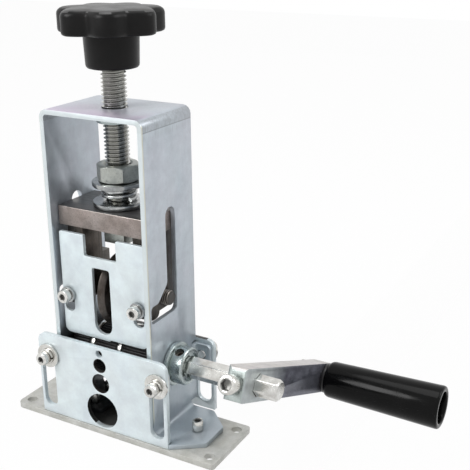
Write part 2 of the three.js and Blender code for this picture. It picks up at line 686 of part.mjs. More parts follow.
function handleGrip() {
  const bore = SPINDLE.dia / 2 + FIT;
  const [inner, outer, wide] = [GRIP.innerDia / 2, GRIP.outerDia / 2, GRIP.boreDia / 2];
  const [from, to] = [gripInnerEnd(), gripOuterEnd()];
  const body = turned([
    [bore, from],
    [inner - GRIP.edge, from],
    [inner - GRIP.edge * 0.3, from + GRIP.edge * 0.3],
    [inner, from + GRIP.edge],
    [outer, to - GRIP.edge],
    [outer - GRIP.edge * 0.3, to - GRIP.edge * 0.3],
    [outer - GRIP.edge, to],
    [wide, to],
    [wide, to - GRIP.boreDeep],
    [bore, to - GRIP.boreDeep],
    [bore, from],
  ]);
  return alongX(body, "handle_grip", GLOSS_BLACK);
}

function handleParts() {
  const group = new THREE.Group();
  const washer = ring(GRIP_WASHER.dia, SPINDLE.dia + 2 * FIT, 0, GRIP_WASHER.thick);
  const washerPiece = alongX(washer, "grip_washer", BLACK_STEEL);
  washerPiece.position.x = armOuter + 2 * SEAT;
  const nutBody = cut(
    prismZ(hexagon(SPINDLE.nutFlats), 0, SPINDLE.nutTall),
    rodZ(SPINDLE.threadDia + 2 * FIT, 0, 0, -PAST, SPINDLE.nutTall + PAST),
  );
  const nut = alongX(nutBody, "spindle_nut", BRIGHT_ZINC);
  nut.position.x = armInner - SEAT - SPINDLE.nutTall;
  group.add(handleSpindle(), handleGrip(), washerPiece, nut);
  group.position.y = ARM.length;
  return group;
}

function crank() {
  const group = new THREE.Group();
  group.add(crankShaft(), shaftCollar(), collarScrew(), ...rollers(), shaftClip());
  group.add(crankArm(), armScrew(), handleParts());
  group.position.z = SHAFT.height;
  group.rotation.x = -THREE.MathUtils.degToRad(ARM.angle);
  return group;
}

// Pressure screw: rod, knob, lock nut and the retainer under the carriage block
function threadedRod() {
  const [radius, tail, edge] = [ROD.dia / 2, ROD.tailDia / 2, 1];
  const shoulder = lowerWasherFrom + PLAIN_WASHER.thick / 2;
  const body = turned([
    [0, ROD.bottom],
    [tail - edge, ROD.bottom],
    [tail, ROD.bottom + edge],
    [tail, shoulder],
    [radius, shoulder],
    [radius, rodTop - edge],
    [radius - edge, rodTop],
    [0, rodTop],
  ]);
  return piece("threaded_rod", body, BRIGHT_ZINC);
}

function starShape(shrink) {
  const [outer, inner] = [KNOB.dia / 2 - shrink, KNOB.valley / 2 - shrink];
  const start = THREE.MathUtils.degToRad(KNOB.lobeAngle);
  const steps = KNOB.lobes * 10;
  const points = Array.from({ length: steps }, (_, i) => {
    const angle = start + (2 * Math.PI * i) / steps;
    const wave = 0.5 + 0.5 * Math.cos(KNOB.lobes * (angle - start));
    const radius = inner + (outer - inner) * Math.pow(wave, 0.75);
    return new THREE.Vector2(radius * Math.cos(angle), radius * Math.sin(angle));
  });
  return polygonShape(points);
}

function knob() {
  const { foot, edge } = KNOB_HEIGHTS;
  const [rim, shoulder, crown] = [knobRim, knobShoulder, knobCrown];
  const [hub, hubFoot] = [KNOB.hubDia / 2, KNOB.hubFootDia / 2];
  const rimTurned = turned([
    [0, rim],
    [KNOB.dia / 2 - edge, rim],
    [KNOB.dia / 2, rim + edge],
    [KNOB.dia / 2, shoulder - edge],
    [KNOB.dia / 2 - edge * 0.4, shoulder],
    [KNOB.dia / 2 - edge * 1.3, shoulder + edge * 0.7],
    [KNOB.dia / 2 - edge * 2.4, crown - edge * 0.2],
    [KNOB.dia / 6, crown],
    [0, crown],
  ], 70);
  const star = prismZ(starShape(0), rim, crown).intersect(rimTurned);
  const stem = turned([
    [0, foot],
    [hubFoot - 0.8, foot],
    [hubFoot, foot + 0.8],
    [hub, rim + FIT],
    [0, rim + FIT],
  ]);
  const bore = rodZ(ROD.dia + 2 * FIT, 0, 0, foot - PAST, rodTop + FIT);
  return piece("star_knob", cut(join(star, stem), bore), SATIN_BLACK);
}

const springFrom = lowerWasherFrom + PLAIN_WASHER.thick + FIT;
const springTall = SPRING.pitch * SPRING.turns + SPRING.wire;
const upperWasherFrom = springFrom + springTall + FIT;
const nutFrom = upperWasherFrom + PLAIN_WASHER.thick + FIT;

function rodNut() {
  const corner = NUT.acrossFlats / 2 / Math.cos(Math.PI / 6);
  const [from, to] = [nutFrom, nutFrom + NUT.tall];
  const chamfers = turned([
    [0, from],
    [corner - NUT.chamfer, from],
    [corner + FIT, from + NUT.chamfer * 0.6],
    [corner + FIT, to - NUT.chamfer * 0.6],
    [corner - NUT.chamfer, to],
    [0, to],
  ]);
  const body = prismZ(hexagon(NUT.acrossFlats, NUT.turn), from, to).intersect(chamfers);
  return piece("rod_nut", cut(body, rodZ(ROD.dia + 2 * FIT, 0, 0, from - PAST, to + PAST)), BRIGHT_ZINC);
}

function rodRetainer() {
  const top = BLOCK.bottom - FIT - SEAT;
  const half = RETAINER.side / 2;
  const corners = rectangle(-half, -half, half, half, RETAINER.corner);
  const holes = [circle(0, 0, ROD.tailDia + 2 * FIT)];
  return piece("rod_retainer", pierced(prismZ, corners, holes, top - RETAINER.tall, top), RAW_STEEL);
}

function plainWasher(name, from) {
  return piece(name, ring(PLAIN_WASHER.dia, PLAIN_WASHER.bore, from, from + PLAIN_WASHER.thick), BRIGHT_ZINC);
}

// Spring: one wire wound up in a helix, with a straight end one wire thick in length at each end
function springPath() {
  const { middleRadius, turns, pitch, stepsPerTurn, wire } = SPRING;
  const low = springFrom + wire / 2;
  const steps = turns * stepsPerTurn;
  const points = Array.from({ length: steps + 1 }, (_, i) => {
    const angle = (2 * Math.PI * i) / stepsPerTurn;
    return new THREE.Vector3(middleRadius * Math.cos(angle), middleRadius * Math.sin(angle), low + (pitch * i) / stepsPerTurn);
  });
  const tangentAt = (angle) => new THREE.Vector3(-Math.sin(angle), Math.cos(angle), 0);
  const last = (2 * Math.PI * steps) / stepsPerTurn;
  points.unshift(points[0].clone().addScaledVector(tangentAt(0), -wire));
  points.push(points[points.length - 1].clone().addScaledVector(tangentAt(last), wire));
  return points;
}

function leastGap(points, wire, apart) {
  let least = Infinity;
  points.forEach((a, i) => {
    points.slice(i + apart).forEach((b) => {
      least = Math.min(least, a.distanceTo(b) - wire);
    });
  });
  return least;
}

function spring() {
  const points = springPath();
  const { sides, wire, stepsPerTurn } = SPRING;
  const positions = points.flatMap((point, i) => {
    const before = points[Math.max(i - 1, 0)];
    const after = points[Math.min(i + 1, points.length - 1)];
    const along = after.clone().sub(before).normalize();
    const outward = new THREE.Vector3(point.x, point.y, 0).addScaledVector(along, -along.dot(point)).normalize();
    const upward = along.clone().cross(outward);
    return Array.from({ length: sides }, (_, k) => {
      const angle = (2 * Math.PI * k) / sides;
      return point
        .clone()
        .addScaledVector(outward, (wire / 2) * Math.cos(angle))
        .addScaledVector(upward, (wire / 2) * Math.sin(angle));
    });
  });
  const index = [];
  for (let i = 0; i < points.length - 1; i++) {
    for (let k = 0; k < sides; k++) {
      const [a, b] = [i * sides + k, i * sides + ((k + 1) % sides)];
      index.push(a, b, b + sides, a, b + sides, a + sides);
    }
  }
  const end = (points.length - 1) * sides;
  for (let k = 1; k < sides - 1; k++) {
    index.push(0, k + 1, k);
    index.push(end, end + k, end + k + 1);
  }
  const geometry = new THREE.BufferGeometry().setFromPoints(positions);
  geometry.setIndex(index);
  console.log(`least gap of the spring to itself: ${leastGap(points, wire, stepsPerTurn / 2).toFixed(2)} mm`);
  return piece("pressure_spring", solid(geometry), BRIGHT_ZINC);
}

// Carriage: block, cheeks, blade and cover plate
function carriageBlock() {
  const x = inWall - BLOCK.side;
  const corners = rectangle(-x, BLOCK.front, x, BLOCK.rear, BLOCK.corner);
  const holes = [circle(0, 0, ROD.tailDia + 2 * FIT)];
  return piece("carriage_block", pierced(prismZ, corners, holes, BLOCK.bottom, blockTop), RAW_STEEL);
}

function cheek(side) {
  const { front, rear, corner } = CHEEK;
  const [bottom, top] = [AXLE.height - CHEEK.below, BLOCK.bottom - FIT];
  const [toeBottom, toeTop] = [AXLE.height - CHEEK_TOE.below, AXLE.height + CHEEK_TOE.above];
  const [from, to] = side < 0 ? [-cheekOuter, -cheekInner] : [cheekInner, cheekOuter];
  const stepHeight = AXLE.height + LEFT_CHEEK_STEP.above;
  const step = [
    [rear, stepHeight],
    [LEFT_CHEEK_STEP.rear, stepHeight],
    [LEFT_CHEEK_STEP.rear, top],
  ];
  const shape = outline([
    [rear, bottom, corner],
    ...(side < 0 ? step : [[rear, top]]),
    [front, top],
    [front, toeTop],
    [CHEEK_TOE.front, toeTop, 1.5],
    [CHEEK_TOE.front, toeBottom, CHEEK_TOE.frontCorner],
    [CHEEK_TOE.rear, toeBottom, Math.min(CHEEK_TOE.rearCorner, bottom - toeBottom - SEAT)],
    [CHEEK_TOE.rear, bottom],
  ]);
  const tapDia = COVER_SCREW.dia + 2 * FIT;
  const tapped = rodY(tapDia, side * coverScrewX, COVER_SLOT.screwHeight, CHEEK_TOE.front - PAST, COVER_TAP.end, 20);
  const axleHole = rodX(AXLE.dia + 2 * FIT, 0, AXLE.height, from - PAST, to + PAST, 24);
  return piece(side < 0 ? "left_cheek" : "right_cheek", cut(prismX(shape, from, to), tapped, axleHole), DARK_STEEL);
}

function bladeAxle() {
  const [radius, end, edge] = [AXLE.dia / 2, inWall + AXLE.intoWall, 0.7];
  const body = turned([
    [0, -end],
    [radius - edge, -end],
    [radius, edge - end],
    [radius, end - edge],
    [radius - edge, end],
    [0, end],
  ]);
  const made = alongX(body, "blade_axle", RAW_STEEL);
  made.position.z = AXLE.height;
  return made;
}

// Blade: a wheel with a bevelled rim between a plain spacer and a flanged hub
function bladeParts() {
  const group = new THREE.Group();
  const bore = AXLE.dia / 2 + FIT;
  const [radius, half] = [BLADE.dia / 2, BLADE.thick / 2];
  const disc = turned([
    [bore, -half],
    [radius, -half],
    [radius, 0.4 - half],
    [radius - BLADE.bevel, half],
    [bore, half],
    [bore, -half],
  ], 56);
  const [sleeve, flange] = [BLADE_HUB.dia / 2, BLADE_HUB.flangeDia / 2];
  const [hubFrom, hubTo] = [half + SEAT, cheekInner - SEAT - BLADE.middle];
  const hub = turned([
    [bore, hubFrom],
    [flange, hubFrom],
    [flange, hubFrom + BLADE_HUB.flangeThick],
    [sleeve, hubFrom + BLADE_HUB.flangeThick],
    [sleeve, hubTo],
    [bore, hubTo],
    [bore, hubFrom],
  ]);
  const spacer = ring(BLADE_HUB.dia, 2 * bore, SEAT - cheekInner - BLADE.middle, -half - SEAT);
  group.add(
    alongX(disc, "blade_wheel", DARK_STEEL),
    alongX(hub, "blade_hub", DARK_STEEL),
    alongX(spacer, "blade_spacer", DARK_STEEL),
  );
  group.position.set(BLADE.middle, 0, AXLE.height);
  return group;
}

function coverPlate() {
  const [left, right] = [COVER_SIDE.left - inWall, inWall - COVER_SIDE.right];
  const { bottom, top, step, stepAt } = COVER;
  const [notchLeft, notchRight] = [NOTCH.middle - NOTCH.width / 2, NOTCH.middle + NOTCH.width / 2];
  const corners = [
    [left, bottom, COVER_SIDE.leftCorner],
    [stepAt, bottom],
    [stepAt, bottom + step],
    [right, bottom + step, COVER_SIDE.rightCorner],
    [right, top, 1],
    [notchRight, top, 0.6],
    [notchRight, NOTCH.bottom, 1],
    [notchLeft, NOTCH.bottom, 1],
    [notchLeft, top, 0.6],
    [left, top, 1],
  ];
  const { middle, width } = SIGHT_SLOT;
  const sight = rectangle(middle - width / 2, SIGHT_SLOT.bottom, middle + width / 2, SIGHT_SLOT.top);
  const radii = [SIGHT_SLOT.width / 2, SIGHT_SLOT.width / 2, SIGHT_SLOT.corner, SIGHT_SLOT.corner];
  radii.forEach((radius, i) => {
    sight[i][2] = radius;
  });
  const slotTop = COVER_SLOT.screwHeight + COVER_SLOT.width / 2;
  const holes = [cornerPoints(sight)];
  for (const side of [-1, 1]) {
    holes.push(slot(side * coverScrewX, COVER_SLOT.width, COVER_SLOT.bottom, slotTop));
  }
  return piece("cover_plate", pierced(prismY, corners, holes, COVER.front, COVER.front + COVER.thick), ZINC);
}

function coverScrew(side) {
  const name = side < 0 ? "left_cover" : "right_cover";
  const stack = new THREE.Group();
  const washer = piece(`${name}_washer`, ring(COVER_WASHER.dia, COVER_SCREW.dia + 2 * FIT, 0, COVER_WASHER.thick), BRIGHT_ZINC);
  washer.position.z = SEAT;
  const underHead = washer.position.z + COVER_WASHER.thick + SEAT;
  const reach = underHead + COVER_TAP.end - FIT - COVER.front;
  const screw = piece(`${name}_screw`, socketScrew(COVER_SCREW, reach), BRIGHT_ZINC);
  screw.position.z = underHead;
  stack.add(washer, screw);
  stack.rotation.x = Math.PI / 2;
  stack.position.set(side * coverScrewX, COVER.front, COVER_SLOT.screwHeight);
  return stack;
}

const stripper = new THREE.Group();
stripper.name = "hand_crank_wire_stripper";
stripper.add(basePlate(), frame(), weldNut(), guidePlates(), footScrewPieces());
stripper.add(...LUGS.map(({ side, facing, middle }) => guideClamp(side, facing, middle)));
stripper.add(bush(-1), bush(1), crank());
stripper.add(threadedRod(), knob(), rodNut(), rodRetainer());
stripper.add(plainWasher("lower_washer", lowerWasherFrom), plainWasher("upper_washer", upperWasherFrom), spring());
stripper.add(carriageBlock(), cheek(-1), cheek(1), bladeAxle(), bladeParts());
stripper.add(coverPlate(), coverScrew(-1), coverScrew(1));

export default stripper;
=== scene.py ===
"""Hand crank wire stripper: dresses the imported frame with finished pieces, materials and a plain studio."""
import json
import logging
import math
from dataclasses import dataclass
from enum import Enum
from functools import cache, reduce
from typing import Callable, Sequence

import bmesh
import bpy
from mathutils import Matrix, Vector


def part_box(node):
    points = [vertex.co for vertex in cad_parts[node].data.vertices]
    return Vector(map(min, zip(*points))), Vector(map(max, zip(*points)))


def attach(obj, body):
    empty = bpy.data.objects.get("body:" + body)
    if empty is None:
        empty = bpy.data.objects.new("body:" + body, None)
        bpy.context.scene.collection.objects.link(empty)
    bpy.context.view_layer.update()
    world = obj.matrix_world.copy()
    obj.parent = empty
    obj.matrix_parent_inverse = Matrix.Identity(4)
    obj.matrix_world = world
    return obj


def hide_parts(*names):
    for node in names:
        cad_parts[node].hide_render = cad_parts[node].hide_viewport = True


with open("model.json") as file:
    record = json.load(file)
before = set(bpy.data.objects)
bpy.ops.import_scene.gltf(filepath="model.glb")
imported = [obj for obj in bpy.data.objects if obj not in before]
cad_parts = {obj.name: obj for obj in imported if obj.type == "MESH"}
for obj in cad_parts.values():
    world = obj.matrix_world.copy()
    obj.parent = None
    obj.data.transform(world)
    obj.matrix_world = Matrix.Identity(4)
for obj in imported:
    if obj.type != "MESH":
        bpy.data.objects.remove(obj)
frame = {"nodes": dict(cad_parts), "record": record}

LOG = logging.getLogger("wire_stripper")
MM = 0.001
FLAT_ANGLE = math.radians(1)
SHARP_ANGLE = math.radians(32)
THREAD_DEPTH = 0.54
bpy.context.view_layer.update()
BODY_OF = {node: body for body, nodes in frame["record"]["behaviour"]["bodies"].items() for node in nodes}

RadiusRule = Callable[[float], float]
Ring = tuple[float, "float | RadiusRule"]
Triple = tuple[float, float, float]
Colour = Triple
Limits = tuple[float, float]
Mesh = bmesh.types.BMesh
Material = bpy.types.Material
Socket = bpy.types.NodeSocket


# Shapes


def hexagon_radius(across_flats: float, turn: float = 0.0) -> RadiusRule:
    """Gives the outline of a hexagon as a radius for each angle.

    Args:
        across_flats: distance between two opposite flats, in mm.
        turn: angle of the first corner, in radians.

    Returns:
        A rule from an angle in radians to a radius in mm.
    """
    def rule(angle: float) -> float:
        """Radius of the hexagon at an angle."""
        part = (angle - turn + math.pi / 6) % (math.pi / 3) - math.pi / 6
        return across_flats / 2 / math.cos(math.pi / 6 - abs(part))

    return rule


def fluted_radius(radius: float, depth: float, flutes: int) -> RadiusRule:
    """Gives a round outline of an outer radius with a number of straight flutes of a depth, in mm."""
    return lambda angle: radius - depth * (0.5 - 0.5 * math.cos(flutes * angle)) ** 2


def smaller(first: RadiusRule, limit: float) -> RadiusRule:
    """Cuts an outline down to a circle of a radius, in mm, as a chamfer on a nut does."""
    return lambda angle: min(first(angle), limit)


def along(axis: int, facing: float = 1.0) -> Vector:
    """Gives the direction of the axis with a number, or the opposite one where it faces by -1."""
    return Vector([facing * (index == axis) for index in range(3)])


def aimed(origin: Vector, direction: Vector) -> Matrix:
    """Gives the matrix, in mm, that stands a piece built along Z on a point, with its Z axis in a direction."""
    return Matrix.Translation(origin) @ direction.to_track_quat("Z", "Y").to_matrix().to_4x4()


def capped(mesh: Mesh) -> Mesh:
    """Closes every open end of a mesh with a face."""
    bmesh.ops.holes_fill(mesh, edges=[edge for edge in mesh.edges if edge.is_boundary], sides=0)
    return mesh


def tower(rings: Sequence[Ring], segments: int, hollow: bool = False) -> Mesh:
    """Builds a stack of rings about Z by extruding one circle.

    Args:
        rings: height and radius of each ring, in mm, from the start of the skin to its end.
        segments: points of each ring.
        hollow: joins the last ring to the first, which leaves a bore, in place of closing both ends.

    Returns:
        The mesh, in mm.
    """
    mesh = bmesh.new()
    made = bmesh.ops.create_circle(mesh, cap_ends=False, segments=segments, radius=1.0)
    loop = made["verts"]
    first = edges = list(mesh.edges)
    for index, (height, radius) in enumerate(rings):
        if index:
            grown = bmesh.ops.extrude_edge_only(mesh, edges=edges)["geom"]
            loop = [item for item in grown if isinstance(item, bmesh.types.BMVert)]
            fresh = set(loop)
            edges = [
                item for item in grown
                if isinstance(item, bmesh.types.BMEdge) and fresh.issuperset(item.verts)
            ]
        for vert in loop:
            angle = math.atan2(vert.co.y, vert.co.x)
            reach = radius(angle) if callable(radius) else radius
            vert.co = Vector((reach * math.cos(angle), reach * math.sin(angle), height))
    if not hollow:
        return capped(mesh)
    bmesh.ops.bridge_loops(mesh, edges=first + edges)
    return mesh


def rounded(inner: float, outer: float, low: float, high: float, edge: float = 0.2) -> list[Ring]:
    """Lists the rings of a washer or bush whose outer edges are rounded.

    Args:
        inner: radius of the bore, in mm.
        outer: outer radius, in mm.
        low: height of the lower face, in mm.
        high: height of the upper face, in mm.
        edge: size of the rounding, in mm.

    Returns:
        Rings for a hollow tower.
    """
    soft = edge * 0.3
    return [
        (low + edge * 0.5, inner), (low, inner + edge * 0.5), (low, outer - edge), (low + soft, outer - soft),
        (low + edge, outer), (high - edge, outer), (high - soft, outer - soft), (high, outer - edge),
        (high, inner + edge * 0.5), (high - edge * 0.5, inner),
    ]


def thread(major: float, pitch: float, low: float, high: float, chamfer: float = 0.9) -> Mesh:
    """Builds a real screw thread about Z by spinning one pitch of its profile up the rod.

    Args:
        major: outer radius, in mm.
        pitch: rise of one turn, in mm.
        low: height of the lower end, in mm.
        high: height of the upper end, in mm.
        chamfer: size of the cone at each end, in mm.

    Returns:
        The mesh, in mm.
    """
    steps = 36
    minor = major - THREAD_DEPTH * pitch
    turns = math.ceil((high - low) / pitch) + 2
    mesh = bmesh.new()
    profile = [(0.0, minor), (0.16, minor), (0.45, major), (0.55, major), (0.84, minor), (1.0, minor)]
    verts = [mesh.verts.new((radius, 0.0, low + (share - 1.0) * pitch)) for share, radius in profile]
    edges = [mesh.edges.new(pair) for pair in zip(verts, verts[1:])]
    bmesh.ops.spin(
        mesh, geom=verts + edges, cent=(0, 0, 0), axis=(0, 0, 1), dvec=(0, 0, pitch / steps),
        angle=2 * math.pi * turns, steps=steps * turns, use_merge=False,
    )
    bmesh.ops.remove_doubles(mesh, verts=mesh.verts, dist=0.001)
    for height, side in ((low, -1), (high, 1)):
        bmesh.ops.bisect_plane(
            mesh, geom=mesh.verts[:] + mesh.edges[:] + mesh.faces[:], dist=0.0001,
            plane_co=(0, 0, height), plane_no=(0, 0, side), clear_outer=True,
        )
    for vert in mesh.verts:
        room = min(vert.co.z - low, high - vert.co.z)
        limit = major - chamfer + room
        radius = math.hypot(vert.co.x, vert.co.y)
        if radius > limit > 0:
            vert.co.x *= limit / radius
            vert.co.y *= limit / radius
    return capped(mesh)


def coil(middle: float, wire: float, pitch: float, turns: int, low: float) -> Mesh:
    """Builds a spring about Z with a straight end, one wire long, at each end.

    Args:
        middle: radius of the wire's middle line, in mm.
        wire: thickness of the wire, in mm.
        pitch: rise of one turn, in mm.
        turns: number of turns.
        low: height of the lowest point, in mm.

    Returns:
        The mesh, in mm.
    """
    steps = 48
    mesh = bmesh.new()
    made = bmesh.ops.create_circle(mesh, cap_ends=False, segments=16, radius=wire / 2)
    turn = Matrix.Translation((middle, 0, low + wire / 2)) @ Matrix.Rotation(math.pi / 2, 4, "X")
    bmesh.ops.transform(mesh, matrix=turn, verts=made["verts"])
    start = list(mesh.edges)
    spun = bmesh.ops.spin(
        mesh, geom=made["verts"] + start, cent=(0, 0, 0), axis=(0, 0, 1), dvec=(0, 0, pitch / steps),
        angle=2 * math.pi * turns, steps=steps * turns, use_merge=False,
    )
    end = [item for item in spun["geom_last"] if isinstance(item, bmesh.types.BMEdge)]
    for edges, way in ((start, -1), (end, 1)):
        grown = bmesh.ops.extrude_edge_only(mesh, edges=edges)["geom"]
        verts = [item for item in grown if isinstance(item, bmesh.types.BMVert)]
        bmesh.ops.translate(mesh, verts=verts, vec=(0, way * wire, 0))
    return capped(mesh)


def softened(node: str, width: float, segments: int = 2) -> Mesh:
    """Copies a CAD node and rounds its sharp edges.

    Args:
        node: name of the CAD node.
        width: width of the rounding, in mm.
        segments: steps of the rounding.

    Returns:
        The mesh, in mm.
    """
    mesh = bmesh.new()
    mesh.from_mesh(frame["nodes"][node].data)
    bmesh.ops.transform(mesh, matrix=Matrix.Scale(1 / MM, 4), verts=mesh.verts)
    bmesh.ops.remove_doubles(mesh, verts=mesh.verts, dist=0.002)
    bmesh.ops.dissolve_limit(
        mesh, angle_limit=FLAT_ANGLE, use_dissolve_boundaries=False,
        verts=mesh.verts, edges=mesh.edges, delimit=set(),
    )
    sharp = [edge for edge in mesh.edges if edge.is_manifold and edge.calc_face_angle(0.0) > SHARP_ANGLE]
    bmesh.ops.bevel(
        mesh, geom=sharp, offset=width, offset_type="OFFSET", affect="EDGES", segments=segments,
        profile=0.5, clamp_overlap=True, material=-1, loop_slide=True,
    )
    return mesh


def joined(*meshes: Mesh) -> Mesh:
    """Puts several meshes into the first one.

    Args:
        meshes: the meshes, which are used up.

    Returns:
        One mesh.
    """
    whole = meshes[0]
    for other in meshes[1:]:
        carrier = bpy.data.meshes.new("carrier")
        other.to_mesh(carrier)
        whole.from_mesh(carrier)
        bpy.data.meshes.remove(carrier)
        other.free()
    return whole


def dress(
    node: str, mesh: Mesh, material: Material, place: Matrix | None = None, smooth: float = 40.0,
) -> bpy.types.Object:
    """Turns a mesh into the finished piece of a CAD node.

    Args:
        node: the CAD node that the piece stands for.
        mesh: the piece, in mm, which is used up.
        material: its material.
        place: where it stands, in mm.
        smooth: edges sharper than this, in degrees, stay sharp.

    Returns:
        The object, riding on the node's body.
    """
    if place is not None:
        bmesh.ops.transform(mesh, matrix=place, verts=mesh.verts)
    bmesh.ops.transform(mesh, matrix=Matrix.Scale(MM, 4), verts=mesh.verts)
    bmesh.ops.recalc_face_normals(mesh, faces=mesh.faces)
    data = bpy.data.meshes.new(f"dressed_{node}")
    mesh.to_mesh(data)
    mesh.free()
    data.shade_smooth()
    data.set_sharp_from_angle(angle=math.radians(smooth))
    piece = bpy.data.objects.new(f"dressed_{node}", data)
    bpy.context.scene.collection.objects.link(piece)
    data.materials.append(material)
    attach(piece, BODY_OF[node])
    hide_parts(node)
    LOG.info("%s: %d faces", piece.name, len(data.polygons))
    return piece


def paint(
    piece: bpy.types.Object, material: Material, chosen: Callable[[bpy.types.MeshPolygon], bool],
) -> None:
    """Gives some faces of a piece another material.

    Args:
        piece: the dressed piece.
        material: the other material.
        chosen: tells which faces take it.
    """
    index = len(piece.data.materials)
    piece.data.materials.append(material)
    for face in piece.data.polygons:
        if chosen(face):
            face.material_index = index


def middle(node: str) -> Vector:
    """Gives the middle of a CAD node's box, in mm."""
    low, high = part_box(node)
    return (low + high) / 2 / MM


def span(node: str, axis: int) -> tuple[float, float]:
    """Gives the lowest and highest value of a CAD node along an axis, in mm."""
    low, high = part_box(node)
    return low[axis] / MM, high[axis] / MM


def washer(
    node: str, axis: int, bore: float, outer: float, material: Material, edge: float = 0.2, segments: int = 64,
) -> None:
    """Stands a washer or ring with rounded edges in for a CAD node.

    Args:
        node: the CAD node.
        axis: number of the axis that runs through its bore.
        bore: radius of the bore, in mm.
        outer: outer radius, in mm.
        material: its material.
        edge: size of the rounding, in mm.
        segments: points of each ring.
    """
    low, high = span(node, axis)
    half = (high - low) / 2
    mesh = tower(rounded(bore, outer, -half, half, edge), segments, True)
    dress(node, mesh, material, aimed(middle(node), along(axis)))


# Shader node groups and finishes


class Wiring:
    """Short ways to add and join nodes in one tree."""

    def __init__(self, tree: bpy.types.NodeTree) -> None:
        """Keeps the tree to work in."""
        self.tree = tree

    def add(self, kind: str, **values: object) -> bpy.types.Node:
        """Adds a node.

        Args:
            kind: the node's type name.
            values: its properties, or the values of its inputs by name with spaces as underscores.

        Returns:
            The node.
        """
        node = self.tree.nodes.new(kind)
        for key, value in values.items():
            if hasattr(node, key):
                setattr(node, key, value)
            else:
                node.inputs[key.replace("_", " ")].default_value = value
        return node

    def join(self, source: Socket, target: Socket) -> None:
        """Links two sockets."""
        self.tree.links.new(source, target)

    def put(self, value: object, target: Socket) -> None:
        """Gives an input its value.

        Args:
            value: a socket, a number or a colour.
            target: the input.
        """
        if isinstance(value, Socket):
            self.join(value, target)
        else:
            target.default_value = (*value, 1.0) if isinstance(value, tuple) else value

    def math(self, operation: str, first: object, second: object = 0.0) -> Socket:
        """Adds a Math node.

        Args:
            operation: what it does.
            first: a socket or a number.
            second: a socket or a number.

        Returns:
            Its output.
        """
        node = self.add("ShaderNodeMath", operation=operation)
        self.put(first, node.inputs[0])
        self.put(second, node.inputs[1])
        return node.outputs[0]

    def blend(self, share: object, first: object, second: object) -> Socket:
        """Mixes two colours.

        Args:
            share: a socket or a number, 0 for the first colour and 1 for the second.
            first: a socket or a colour.
            second: a socket or a colour.

        Returns:
            The mixed colour.
        """
        node = self.add("ShaderNodeMix", data_type="RGBA")
        for index, value in ((0, share), (6, first), (7, second)):
            self.put(value, node.inputs[index])
        return node.outputs[2]

    def product(self, *factors: object) -> Socket:
        """Multiplies several sockets or numbers."""
        return reduce(lambda whole, factor: self.math("MULTIPLY", whole, factor), factors)

    def range(self, value: Socket, low: float, high: float, to_low: float = 0.0, to_high: float = 1.0) -> Socket:
        """Maps a value from one range to another, clamped.

        Args:
            value: the value.
            low: value that gives the first result.
            high: value that gives the second result.
            to_low: the first result.
            to_high: the second result.

        Returns:
            The result.
        """
        node = self.add("ShaderNodeMapRange")
        for index, number in enumerate((value, low, high, to_low, to_high)):
            self.put(number, node.inputs[index])
        return node.outputs[0]

    def band(self, value: Socket, low: float, high: float, soft: float) -> Socket:
        """Gives 1 where a value lies between two limits, with soft ends."""
        rising = self.range(value, low, low + soft)
        return self.product(rising, self.range(value, high - soft, high, 1.0, 0.0))


class Effect(Enum):
    """The noise effects that the finishes share: the noise's detail and the values that give 0 and 1."""

    CLOUD = (4.0, 0.35, 0.65)
    SPECKLE = (2.0, 0.56, 0.72)
    STREAK = (5.0, 0.42, 0.7)

    @cache
    def group(self) -> bpy.types.NodeTree:
        """Builds the effect's node group, which stretches coordinates and gives a mask of noise, at its first use.

        Returns:
            The group, with inputs Vector, Stretch and Scale and output Mask.
        """
        detail, low, high = self.value
        tree = bpy.data.node_groups.new(self.name.lower(), "ShaderNodeTree")
        for name, kind in (("Vector", "Vector"), ("Stretch", "Vector"), ("Scale", "Float")):
            tree.interface.new_socket(name, in_out="INPUT", socket_type=f"NodeSocket{kind}")
        tree.interface.new_socket("Mask", in_out="OUTPUT", socket_type="NodeSocketFloat")
        wiring = Wiring(tree)
        start, end = wiring.add("NodeGroupInput"), wiring.add("NodeGroupOutput")
        stretched = wiring.add("ShaderNodeVectorMath", operation="MULTIPLY")
        noise = wiring.add("ShaderNodeTexNoise", Detail=detail, Roughness=0.6)
        for source, target in (
            (start.outputs["Vector"], stretched.inputs[0]), (start.outputs["Stretch"], stretched.inputs[1]),
            (stretched.outputs[0], noise.inputs["Vector"]), (start.outputs["Scale"], noise.inputs["Scale"]),
            (wiring.range(noise.outputs[0], low, high), end.inputs[0]),
        ):
            wiring.join(source, target)
        return tree


